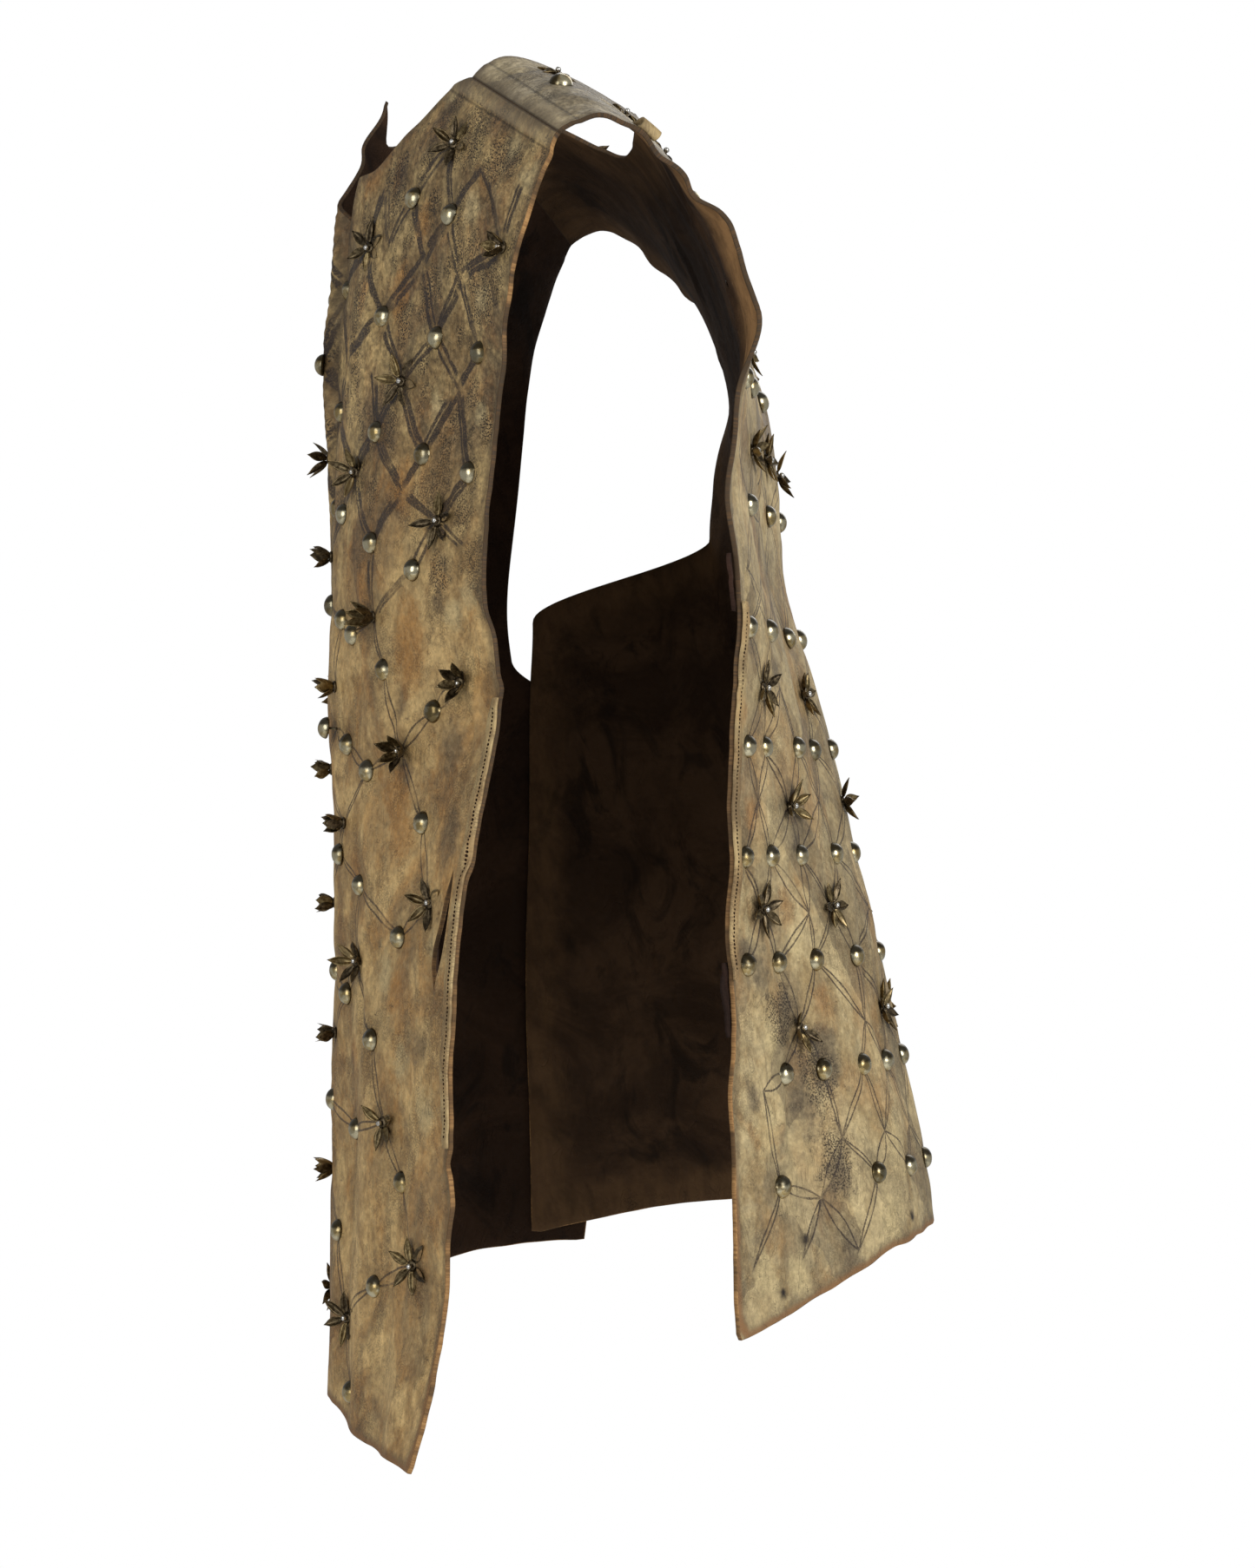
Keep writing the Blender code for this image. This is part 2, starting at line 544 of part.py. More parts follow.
def inside_polygon(points, polygon):
    """Which points lie inside a closed outline."""
    inside = np.zeros(len(points), bool)
    x, y = points[:, 0], points[:, 1]
    for a, b in zip(polygon, np.roll(polygon, -1, axis=0)):
        crosses = (a[1] > y) != (b[1] > y)
        with np.errstate(divide="ignore", invalid="ignore"):
            at = a[0] + (y - a[1]) * (b[0] - a[0]) / (b[1] - a[1])
        inside ^= crosses & (x < at)
    return inside


def edge_distance(points, polygon):
    """The distance from each point to the nearest side of an outline."""
    best = np.full(len(points), np.inf)
    for a, b in zip(polygon, np.roll(polygon, -1, axis=0)):
        along = b - a
        t = np.clip(((points - a) @ along) / (along @ along), 0, 1)
        best = np.minimum(best, np.linalg.norm(points - a - t[:, None] * along, axis=1))
    return best


def filling_points(loops, rings):
    """A plain triangular grid over the leather, kept clear of its edges and of the rings."""
    low, high = loops[0].min(0), loops[0].max(0)
    points = []
    rise = MESH_PITCH * math.sqrt(3) / 2
    for j in range(int((high[1] - low[1]) / rise) + 1):
        for i in range(int((high[0] - low[0]) / MESH_PITCH) + 2):
            points.append((low[0] + (i - 0.5 * (j % 2)) * MESH_PITCH, low[1] + j * rise))
    points = np.array(points)
    keep = inside_polygon(points, loops[0])
    keep &= edge_distance(points, loops[0]) > MESH_PITCH * 0.4
    for loop in loops[1:]:
        keep &= ~inside_polygon(points, loop) & (edge_distance(points, loop) > FEATURE_MARGIN)
    for ring in rings:
        middle = ring.mean(0)
        reach = np.linalg.norm(ring - middle, axis=1).max()
        keep &= np.linalg.norm(points - middle, axis=1) > reach + FEATURE_MARGIN
    return points[keep]


def triangulate(loops, rings, grid):
    """Triangles over the outline, less its holes and the insides of the rings."""
    groups = loops + rings
    points = np.concatenate(groups + [grid])
    edges = []
    start = 0
    ranges = []
    for group in groups:
        count = len(group)
        ranges.append((start, count))
        edges += [(start + k, start + (k + 1) % count) for k in range(count)]
        start += count
    found = delaunay_2d_cdt([Vector(p) for p in points], edges, [], 0, 1e-7, True)
    places, _, triangles, origins = found[:4]
    if len(places) != len(points):
        raise ValueError("two edges of the cut cross")
    name = [origin[0] for origin in origins]
    triangles = np.array([[name[i] for i in t] for t in triangles])
    centres = points[triangles].mean(1)
    keep = inside_polygon(centres, loops[0])
    for (first, count), group in list(zip(ranges, groups))[1:]:
        own = ((triangles >= first) & (triangles < first + count)).all(1)
        keep &= ~(own & inside_polygon(centres, group))
    return points, triangles[keep], ranges


def leather_panel(panel, holes):
    """The panel's wall: an outer face with its studs and flowers, a plain inner face, and the cut edge."""
    loops = [outline(panel)] + holes
    made = features(panel)
    rings = [item[0] for item in made]
    grid = filling_points(loops, rings)
    outer_flat, outer_triangles, ranges = triangulate(loops, rings, grid)
    inner_flat, inner_triangles, _ = triangulate(loops, [], filling_points(loops, []))
    shell = bmesh.new()
    outer = [shell.verts.new(p) for p in drape(panel, outer_flat[:, 0], outer_flat[:, 1])]
    inner = [shell.verts.new(p) for p in drape(panel, inner_flat[:, 0], inner_flat[:, 1], -LEATHER)]
    for a, b, c in outer_triangles:
        shell.faces.new((outer[a], outer[b], outer[c]))
    for a, b, c in inner_triangles:
        shell.faces.new((inner[a], inner[c], inner[b]))
    for first, count in ranges[:len(loops)]:
        for k in range(count):
            a, b = first + k, first + (k + 1) % count
            shell.faces.new((outer[a], inner[a], inner[b]))
            shell.faces.new((outer[a], inner[b], outer[b]))
    for (first, count), (_, levels, top) in zip(ranges[len(loops):], made):
        below = [outer[first + k] for k in range(count)]
        for level in levels:
            above = [shell.verts.new(p) for p in level]
            for k in range(count):
                after = (k + 1) % count
                shell.faces.new((below[k], below[after], above[k]))
                shell.faces.new((below[after], above[after], above[k]))
            below = above
        peak = shell.verts.new(top)
        for k in range(count):
            shell.faces.new((below[k], below[(k + 1) % count], peak))
    return finish_solid(shell, panel.name, "olive_leather")


def finish_solid(shell, name, finish):
    """A closed solid as a named object."""
    bmesh.ops.recalc_face_normals(shell, faces=shell.faces[:])
    if shell.calc_volume(signed=True) < 0:
        bmesh.ops.reverse_faces(shell, faces=shell.faces[:])
    mesh = bpy.data.meshes.new(name)
    shell.to_mesh(mesh)
    shell.free()
    made = bpy.data.objects.new(name, mesh)
    made.data.materials.append(material(finish))
    GARMENT.objects.link(made)
    return made


def laid_patch(panel, name, finish, downs, inner_edge, outer_edge, lifts, columns=2):
    """A small piece that follows a panel's side edge, between two lifts over its surface.

    inner_edge and outer_edge give, for each of downs, how far past the panel's edge it reaches.
    """
    downs = np.asarray(downs, float)
    edge = half_width(panel, downs)
    shares = np.linspace(0, 1, columns)
    reach = np.asarray(inner_edge)[:, None] * (1 - shares) + np.asarray(outer_edge)[:, None] * shares
    across = edge[:, None] + reach
    down = np.repeat(downs[:, None], columns, axis=1)
    shell = bmesh.new()
    layers = []
    for lift in lifts:
        points = drape(panel, across.ravel(), down.ravel(), lift)
        layers.append([shell.verts.new(p) for p in points])
    rows = len(downs)

    def corner(layer, i, j):
        return layers[layer][i * columns + j]

    for i in range(rows - 1):
        for j in range(columns - 1):
            for layer in (0, 1):
                cell = ((i, j), (i, j + 1), (i + 1, j + 1), (i + 1, j))
                shell.faces.new([corner(layer, *c) for c in cell])
    border = [(i, 0) for i in range(rows)] + [(rows - 1, j) for j in range(1, columns)]
    border += [(i, columns - 1) for i in range(rows - 2, -1, -1)]
    border += [(0, j) for j in range(columns - 2, 0, -1)]
    for a, b in zip(border, border[1:] + border[:1]):
        shell.faces.new((corner(0, *a), corner(0, *b), corner(1, *b), corner(1, *a)))
    bmesh.ops.triangulate(shell, faces=shell.faces[:])
    return finish_solid(shell, name, finish)


def side_strip(panel, name, top, bottom):
    """The narrow folded strip along an open side edge, which carries the lacing holes."""
    downs = [d for d in edge_rows(panel, 1) if top - EDGE_PITCH / 2 < d < bottom + EDGE_PITCH / 2]
    inner = [-STRIP_WIDTH] * len(downs)
    outer = [STRIP_OVERHANG] * len(downs)
    lifts = (LAYER_GAP, LAYER_GAP + STRIP_THICKNESS)
    return laid_patch(panel, name, "edge_leather", downs, inner, outer, lifts)


def under_patch(panel, name, downs, inner, outer, thickness, gap):
    """A scrap of leather against the inner face at the side edge."""
    top = -LEATHER - gap
    lifts = (top - thickness, top)
    return laid_patch(panel, name, "dark_suede", downs, inner, outer, lifts)


FRONT = make_panel("front_panel", -1, FRONT_SECTIONS, FRONT_FOLDS, FRONT_OVERLAP)
BACK = make_panel("back_panel", 1, BACK_SECTIONS, BACK_FOLDS, BACK_OVERLAP)
GARMENT = bpy.data.collections.new("studded_leather_tunic")


def main():
    clear_scene()
    bpy.context.scene.collection.children.link(GARMENT)
    leather_panel(FRONT, [np.array(RIP)])
    leather_panel(BACK, [])
    side_strip(FRONT, "front_side_strip", 0.37, 0.63)
    side_strip(BACK, "back_side_strip", 0.40, 0.62)
    under_patch(
        BACK, "side_tie", (0.345, 0.358, 0.372, 0.390, 0.408), (-0.003, -0.003, 0.000, 0.001, 0.001),
        (0.006, 0.008, 0.007, 0.007, 0.006), 0.0022, CLOSE_GAP,
    )
    under_patch(
        BACK, "torn_scrap", (0.612, 0.626, 0.640, 0.655), (-0.006, -0.004, -0.005, -0.003),
        (0.005, 0.008, 0.004, 0.002), 0.0020, CLOSE_GAP,
    )
    laid_patch(
        BACK, "shoulder_tab", "edge_leather", (0.060, 0.068, 0.076), (-0.015, -0.016, -0.015),
        (-0.002, -0.001, -0.002), (LAYER_GAP, TAB_HEIGHT),
    )


if __name__ == "__main__":
    main()
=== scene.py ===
"""The looks of the studded leather tunic: hide, ink, cut edges, metal studs and metal flowers.

A place on a panel is given as on the flat leather: across, from the middle towards the wearer's left, and
down, from the shoulder seam. Lengths are in metres. +X is the wearer's left, -Y the front and +Z up.
"""
import math
from collections import namedtuple

import bpy
import numpy as np
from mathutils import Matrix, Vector
from mathutils.geometry import delaunay_2d_cdt


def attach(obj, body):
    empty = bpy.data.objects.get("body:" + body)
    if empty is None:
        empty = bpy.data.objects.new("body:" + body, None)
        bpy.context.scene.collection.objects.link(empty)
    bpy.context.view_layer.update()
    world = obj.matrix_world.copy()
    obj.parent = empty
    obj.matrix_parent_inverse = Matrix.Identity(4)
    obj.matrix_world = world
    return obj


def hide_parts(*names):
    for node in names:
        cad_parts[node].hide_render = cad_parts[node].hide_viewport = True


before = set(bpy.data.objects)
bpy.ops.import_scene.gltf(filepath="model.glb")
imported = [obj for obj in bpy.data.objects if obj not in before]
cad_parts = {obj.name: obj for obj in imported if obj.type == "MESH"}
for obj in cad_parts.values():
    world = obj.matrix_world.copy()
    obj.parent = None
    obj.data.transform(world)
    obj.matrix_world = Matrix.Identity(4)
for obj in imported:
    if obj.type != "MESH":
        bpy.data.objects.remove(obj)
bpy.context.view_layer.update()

BODY = "root"

CAMERA_PLACE = (2.1, 0.02, -0.40)
PHOTO_WIDTH, PHOTO_HEIGHT = 1445, 1806
FOCAL_PIXELS = 3818

LEATHER = 0.003
SEAM_GAP = -0.0003
LAYER_GAP = 0.0009
CLOSE_GAP = 0.0005
SEAM_BLEND = 0.03
CIRCLE_HANDLE = 0.5523
OPEN_SIDE_HANDLE = 0.30
OPEN_SIDE_ROUND = 0.10
ROW_STATION = 0.6
ARC_STEPS = 49
LOOKUP_PITCH = 0.0025

OUTER_PITCH = 0.0034
INNER_PITCH = 0.0062
EDGE_STEP = 0.0034
EDGE_ROUND = 0.0006
RIM_ROWS = ((0.70, 0.25), (1.00, 1.00))

STUD_RADIUS = 0.007
STUD_HEIGHT = 0.0056
STUD_SIDES = 24
PETALS = 6
PETAL_REACH = 0.019
FLAT_PETAL, CLOSING = 10.0, 105.0
FLOWER_LEAN = 1.0
FLOWER_LEAN_FROM = (0.030, 0.045)

NECK_HALF = 0.104
SLIT_DEPTH = 0.104
SLIT_END = 0.300
FLAP_FORWARD = 0.034
FLAP_UP = -0.006
FLAP_CENTRE = (-0.045, 0.005)
FLAP_RADIUS = 0.062
SLIT_STEP = 0.015
SLIT_STEP_RUN = 0.012
SLIT_STEP_WIDTH = (0.060, 0.150)
SLIT_STEP_TOP = (0.015, 0.050)
SLIT_STEP_FADE = (0.160, 0.320)
CURL_OUT = 0.012
CURL_REACH = 0.016
CURL_RANGE = (0.100, 0.300)
ARMPIT_START = 0.335
ARMPIT_END = 0.395
FRONT_OVERLAP = 0.077
BACK_OVERLAP = 0.130

STRIP_WIDTH = 0.0065
STRIP_OVERHANG = 0.0012
STRIP_THICKNESS = 0.0018
STRIP_HOLE = 0.00068
STRIP_HOLE_PITCH = 0.0023

Section = namedtuple("Section", "centre_y centre_z near_x near_y near_z far_x round")
Fold = namedtuple("Fold", "across top bottom lean width depth")
Crease = namedtuple("Crease", "across down length turn width depth")
StudRow = namedtuple("StudRow", "down slope across")
Flower = namedtuple("Flower", "across down spread size", defaults=(1.0,))
Cloud = namedtuple("Cloud", "x y reach")
Panel = namedtuple("Panel", "name out sections folds stations slopes overlap creases number")

FRONT_SECTIONS = [
    Section(-0.115, 0.071, 0.200, -0.020, -0.026, 0.2000, 0.00),
    Section(-0.131, 0.044, 0.200, -0.030, -0.048, 0.2000, 0.02),
    Section(-0.145, 0.018, 0.200, -0.036, -0.066, 0.2000, 0.05),
    Section(-0.150, -0.006, 0.199, -0.042, -0.085, 0.2000, 0.12),
    Section(-0.154, -0.032, 0.198, -0.047, -0.105, 0.1995, 0.30),
    Section(-0.156, -0.065, 0.196, -0.050, -0.128, 0.1985, 0.50),
    Section(-0.159, -0.105, 0.194, -0.052, -0.152, 0.1975, 0.70),
    Section(-0.163, -0.155, 0.190, -0.055, -0.190, 0.1975, 0.85),
    Section(-0.167, -0.215, 0.188, -0.060, -0.236, 0.1985, 0.92),
    Section(-0.169, -0.285, 0.186, -0.063, -0.292, 0.2000, 0.97),
    Section(-0.168, -0.345, 0.188, -0.057, -0.345, 0.2015, 1.00),
    Section(-0.167, -0.430, 0.192, -0.068, -0.430, 0.2015, 1.00),
    Section(-0.166, -0.530, 0.196, -0.080, -0.530, 0.2015, 1.00),
    Section(-0.166, -0.600, 0.198, -0.082, -0.600, 0.2015, 1.00),
    Section(-0.168, -0.690, 0.200, -0.084, -0.690, 0.2015, 1.00),
    Section(-0.169, -0.745, 0.200, -0.092, -0.745, 0.2015, 1.00),
    Section(-0.170, -0.800, 0.200, -0.105, -0.800, 0.2015, 1.00),
]
BACK_SECTIONS = [
    Section(-0.115, 0.071, 0.200, -0.020, -0.026, 0.2000, 0.00),
    Section(-0.093, 0.084, 0.200, 0.002, -0.015, 0.2000, 0.00),
    Section(-0.057, 0.076, 0.200, 0.022, -0.022, 0.2000, 0.00),
    Section(-0.018, 0.058, 0.200, 0.038, -0.036, 0.2000, 0.02),
    Section(0.020, 0.030, 0.200, 0.051, -0.052, 0.2000, 0.10),
    Section(0.052, -0.020, 0.200, 0.062, -0.066, 0.2000, 0.30),
    Section(0.073, -0.062, 0.200, 0.070, -0.084, 0.2000, 0.50),
    Section(0.090, -0.110, 0.200, 0.081, -0.112, 0.1995, 0.50),
    Section(0.104, -0.155, 0.199, 0.087, -0.156, 0.1985, 0.55),
    Section(0.112, -0.190, 0.198, 0.082, -0.191, 0.1980, 0.60),
    Section(0.117, -0.240, 0.196, 0.079, -0.240, 0.1970, 0.70),
    Section(0.121, -0.282, 0.195, 0.084, -0.282, 0.1965, 0.80),
    Section(0.134, -0.325, 0.194, 0.083, -0.325, 0.1965, 0.90),
    Section(0.160, -0.425, 0.193, 0.082, -0.425, 0.1965, 1.00),
    Section(0.178, -0.495, 0.193, 0.080, -0.495, 0.1965, 1.00),
    Section(0.195, -0.570, 0.194, 0.080, -0.570, 0.1965, 1.00),
    Section(0.208, -0.630, 0.195, 0.082, -0.630, 0.1965, 1.00),
    Section(0.217, -0.680, 0.196, 0.083, -0.680, 0.1965, 1.00),
    Section(0.224, -0.730, 0.197, 0.084, -0.730, 0.1965, 1.00),
]

FRONT_FOLDS = [
    Fold(0.050, 0.20, 0.78, 0.015, 0.022, -0.0045),
    Fold(0.152, 0.52, 0.84, -0.020, 0.024, -0.0040),
    Fold(0.190, 0.09, 0.30, -0.030, 0.020, -0.0035),
    Fold(-0.070, 0.24, 0.80, -0.015, 0.024, -0.0050),
    Fold(-0.160, 0.10, 0.33, 0.025, 0.022, -0.0040),
    Fold(-0.150, 0.46, 0.84, 0.010, 0.026, -0.0045),
]
BACK_FOLDS = [
    Fold(0.055, 0.22, 0.62, 0.020, 0.024, -0.0045),
    Fold(0.145, 0.56, 0.86, 0.030, 0.026, -0.0045),
    Fold(0.030, 0.55, 0.86, 0.000, 0.028, -0.0050),
    Fold(-0.080, 0.24, 0.66, -0.020, 0.026, -0.0050),
    Fold(-0.170, 0.50, 0.86, -0.020, 0.028, -0.0045),
]
FRONT_CREASES = [
    Crease(0.190, 0.060, 0.085, 62, 0.0040, -0.0012),
    Crease(0.132, 0.100, 0.060, -35, 0.0035, -0.0009),
    Crease(0.030, 0.175, 0.070, 12, 0.0045, -0.0013),
    Crease(0.218, 0.190, 0.110, -6, 0.0032, -0.0010),
    Crease(0.170, 0.240, 0.050, 40, 0.0040, -0.0008),
    Crease(0.215, 0.330, 0.065, 25, 0.0045, -0.0014),
    Crease(0.196, 0.395, 0.090, 8, 0.0040, -0.0016),
    Crease(0.222, 0.455, 0.070, -12, 0.0030, -0.0012),
    Crease(0.120, 0.380, 0.080, -20, 0.0050, -0.0010),
    Crease(0.085, 0.560, 0.120, 6, 0.0055, -0.0014),
    Crease(0.184, 0.530, 0.130, 9, 0.0040, -0.0018),
    Crease(0.185, 0.600, 0.060, -18, 0.0035, -0.0012),
    Crease(0.160, 0.700, 0.090, 14, 0.0050, -0.0012),
    Crease(0.206, 0.760, 0.070, -10, 0.0040, -0.0012),
    Crease(0.010, 0.640, 0.140, -4, 0.0060, -0.0014),
    Crease(-0.090, 0.150, 0.090, -24, 0.0045, -0.0012),
    Crease(-0.200, 0.210, 0.110, 7, 0.0035, -0.0011),
    Crease(-0.120, 0.330, 0.100, 16, 0.0050, -0.0013),
    Crease(-0.215, 0.430, 0.120, -9, 0.0045, -0.0016),
    Crease(-0.050, 0.520, 0.130, 5, 0.0055, -0.0013),
    Crease(-0.180, 0.640, 0.110, 12, 0.0050, -0.0014),
    Crease(-0.100, 0.720, 0.090, -15, 0.0045, -0.0012),
]
BACK_CREASES = [
    Crease(0.170, 0.070, 0.060, 70, 0.0040, -0.0010),
    Crease(0.120, 0.160, 0.090, 30, 0.0050, -0.0014),
    Crease(0.165, 0.235, 0.080, 18, 0.0045, -0.0016),
    Crease(0.090, 0.330, 0.110, -14, 0.0050, -0.0013),
    Crease(0.185, 0.400, 0.070, 10, 0.0035, -0.0013),
    Crease(0.150, 0.490, 0.090, -8, 0.0045, -0.0011),
    Crease(0.190, 0.560, 0.060, 20, 0.0035, -0.0013),
    Crease(0.214, 0.640, 0.080, -6, 0.0040, -0.0015),
    Crease(0.170, 0.700, 0.120, 9, 0.0050, -0.0015),
    Crease(0.226, 0.745, 0.070, 14, 0.0045, -0.0012),
    Crease(0.060, 0.620, 0.140, 4, 0.0060, -0.0015),
    Crease(0.000, 0.250, 0.120, -6, 0.0060, -0.0014),
    Crease(-0.110, 0.170, 0.090, -28, 0.0050, -0.0014),
    Crease(-0.160, 0.290, 0.100, -16, 0.0045, -0.0015),
    Crease(-0.060, 0.420, 0.130, 8, 0.0055, -0.0013),
    Crease(-0.190, 0.520, 0.110, -7, 0.0045, -0.0014),
    Crease(-0.120, 0.640, 0.140, 5, 0.0055, -0.0015),
    Crease(-0.240, 0.700, 0.090, -12, 0.0050, -0.0013),
]

FRONT_HEM = [
    (-0.310, 0.738), (-0.250, 0.742), (-0.205, 0.752), (-0.150, 0.776), (-0.090, 0.794), (0.000, 0.803),
    (0.024, 0.805), (0.050, 0.808), (0.075, 0.814), (0.101, 0.816), (0.145, 0.818), (0.214, 0.819),
]
BACK_HEM = [
    (-0.395, 0.822), (-0.330, 0.806), (-0.270, 0.798), (-0.180, 0.790), (-0.080, 0.788), (0.000, 0.788),
    (0.029, 0.788), (0.080, 0.792), (0.122, 0.802), (0.152, 0.810), (0.180, 0.819), (0.218, 0.828),
    (0.249, 0.831),
]
FRONT_NECKLINE = [
    (-0.090, 0.013), (-0.070, 0.024), (-0.057, 0.033), (-0.050, 0.024), (-0.045, 0.007), (-0.041, 0.030),
    (-0.033, 0.054), (-0.019, 0.078), (-0.0012, SLIT_DEPTH), (0.0, SLIT_END), (0.0012, SLIT_DEPTH),
    (0.003, 0.092), (0.006, 0.079), (0.030, 0.071), (0.049, 0.056), (0.066, 0.038), (0.076, 0.020),
    (0.086, 0.009),
]
BACK_NECKLINE = [
    (-0.102, 0.025), (-0.106, 0.045), (-0.104, 0.072), (-0.088, 0.095), (-0.060, 0.108), (-0.030, 0.114),
    (0.000, 0.116), (0.030, 0.114), (0.060, 0.108), (0.086, 0.094), (0.102, 0.074), (0.108, 0.045),
    (0.102, 0.022),
]
NECK_CORNERS = (
    (-0.045, 0.007), (-0.0012, SLIT_DEPTH), (0.0, SLIT_END), (0.0012, SLIT_DEPTH), (0.006, 0.079),
)
RIP = [
    (0.2012, 0.472), (0.2016, 0.490), (0.2004, 0.507), (0.1978, 0.524), (0.1905, 0.545), (0.1910, 0.526),
    (0.1940, 0.508), (0.1970, 0.490),
]

FRONT_STUDS = [
    StudRow(0.078, 0.00, (0.095, 0.146, -0.100, -0.152)),
    StudRow(0.137, 0.00, (0.000, -0.026)),
    StudRow(0.144, 0.06, (0.076, 0.148, 0.198, -0.068, -0.114, -0.165, -0.212)),
    StudRow(0.174, 0.00, (-0.012,)),
    StudRow(0.203, 0.16, (0.010, 0.084, 0.144, 0.194, -0.050, -0.105, -0.150, -0.200)),
    StudRow(0.256, 0.31, (0.000, 0.035, 0.089, 0.140, -0.050, -0.095, -0.148, -0.196)),
    StudRow(0.312, 0.48, (0.004, 0.040, 0.059, 0.105, 0.159, -0.042, -0.100, -0.155, -0.205)),
    StudRow(0.384, 0.46, (0.026, 0.048, 0.084, 0.152, -0.026, -0.080, -0.145, -0.200)),
    StudRow(0.458, 0.48, (0.036, 0.074, 0.135, -0.050, -0.105, -0.160, -0.215)),
    StudRow(0.539, 0.44, (0.016, 0.049, 0.105, -0.030, -0.085, -0.140, -0.190)),
    StudRow(0.620, 0.30, (0.016, 0.066, 0.147, -0.045, -0.100, -0.160, -0.220)),
    StudRow(0.694, 0.31, (0.038, 0.116, -0.055, -0.120, -0.190)),
    StudRow(0.794, 0.00, (0.075,)),
    StudRow(0.762, 0.00, (-0.060,)),
]
BACK_STUDS = [
    StudRow(0.032, 0.00, (0.171, -0.174)),
    StudRow(0.150, 0.00, (0.030, 0.085, 0.140, -0.030, -0.085, -0.140)),
    StudRow(0.215, 0.00, (0.000, 0.055, 0.110, 0.155, -0.055, -0.110, -0.160)),
    StudRow(0.268, 0.00, (0.024, 0.110, 0.158, -0.070, -0.110, -0.160)),
    StudRow(0.341, 0.00, (0.000, 0.052, 0.134, -0.038, -0.075, -0.130, -0.181)),
    StudRow(0.416, 0.00, (0.000, 0.048, 0.124, 0.175, -0.060, -0.122, -0.174, -0.240)),
    StudRow(0.486, 0.00, (0.010, 0.057, 0.103, 0.153, 0.183, -0.035, -0.075, -0.124, -0.175, -0.235)),
    StudRow(0.551, 0.00, (0.020, 0.067, 0.121, 0.161, 0.193, -0.025, -0.078, -0.130, -0.178, -0.260)),
    StudRow(0.614, 0.00, (0.004, 0.073, 0.122, 0.165, 0.200, -0.040, -0.085, -0.130, -0.180, -0.240)),
    StudRow(0.680, 0.00, (0.000, 0.045, 0.087, 0.131, 0.171, -0.100, -0.145, -0.190, -0.265)),
    StudRow(0.746, 0.00, (0.000, 0.045, 0.092, 0.187, -0.055, -0.105, -0.160, -0.230)),
]
FRONT_FLOWERS = [
    Flower(0.123, 0.039, 0.9), Flower(0.042, 0.114, 1.0), Flower(0.221, 0.083, 0.55, 0.8),
    Flower(0.111, 0.182, 1.0), Flower(0.052, 0.237, 0.8), Flower(0.164, 0.263, 0.9),
    Flower(0.004, 0.284, 0.5, 0.8), Flower(0.091, 0.321, 0.5), Flower(0.182, 0.362, 0.6),
    Flower(0.025, 0.361, 0.45, 0.8), Flower(0.124, 0.402, 0.6), Flower(0.002, 0.412, 0.45, 0.75),
    Flower(0.045, 0.446, 0.4, 0.8), Flower(0.170, 0.492, 0.9), Flower(0.004, 0.497, 0.5, 0.8),
    Flower(0.068, 0.531, 0.7), Flower(0.021, 0.578, 0.45, 0.75), Flower(0.122, 0.625, 0.9),
    Flower(0.009, 0.664, 0.55, 0.85), Flower(0.173, 0.704, 1.0), Flower(0.059, 0.751, 0.9),
    Flower(-0.124, 0.039, 0.9), Flower(-0.095, 0.108, 1.0), Flower(-0.172, 0.185, 0.9),
    Flower(-0.020, 0.226, 0.7), Flower(-0.100, 0.243, 0.8), Flower(-0.068, 0.300, 0.9),
    Flower(-0.185, 0.345, 0.9), Flower(-0.055, 0.365, 0.7), Flower(-0.110, 0.395, 0.9),
    Flower(-0.170, 0.478, 0.8), Flower(-0.068, 0.522, 0.8), Flower(-0.205, 0.580, 0.9),
    Flower(-0.060, 0.595, 0.8), Flower(-0.140, 0.710, 0.8), Flower(-0.028, 0.745, 0.9),
]
BACK_FLOWERS = [
    Flower(0.130, 0.044, 1.1, 0.7), Flower(0.132, 0.086, 1.1, 0.7), Flower(0.122, 0.119, 1.1, 0.7),
    Flower(-0.128, 0.060, 0.8), Flower(-0.115, 0.118, 0.8), Flower(0.030, 0.185, 0.9),
    Flower(-0.060, 0.182, 0.9), Flower(0.085, 0.244, 0.9), Flower(-0.035, 0.245, 0.9),
    Flower(0.046, 0.306, 0.9), Flower(-0.001, 0.312, 0.8), Flower(0.110, 0.306, 0.8),
    Flower(-0.100, 0.308, 0.9), Flower(-0.090, 0.378, 0.9), Flower(0.155, 0.451, 0.9),
    Flower(0.049, 0.452, 0.9), Flower(-0.098, 0.452, 0.9), Flower(0.128, 0.522, 0.8),
    Flower(0.019, 0.519, 0.8), Flower(-0.100, 0.518, 0.9), Flower(0.178, 0.582, 0.9),
    Flower(0.091, 0.583, 0.9), Flower(-0.055, 0.582, 0.9), Flower(-0.208, 0.585, 0.8),
    Flower(-0.040, 0.650, 0.9), Flower(0.031, 0.648, 0.9), Flower(0.148, 0.654, 0.8),
    Flower(-0.155, 0.647, 0.9),
]
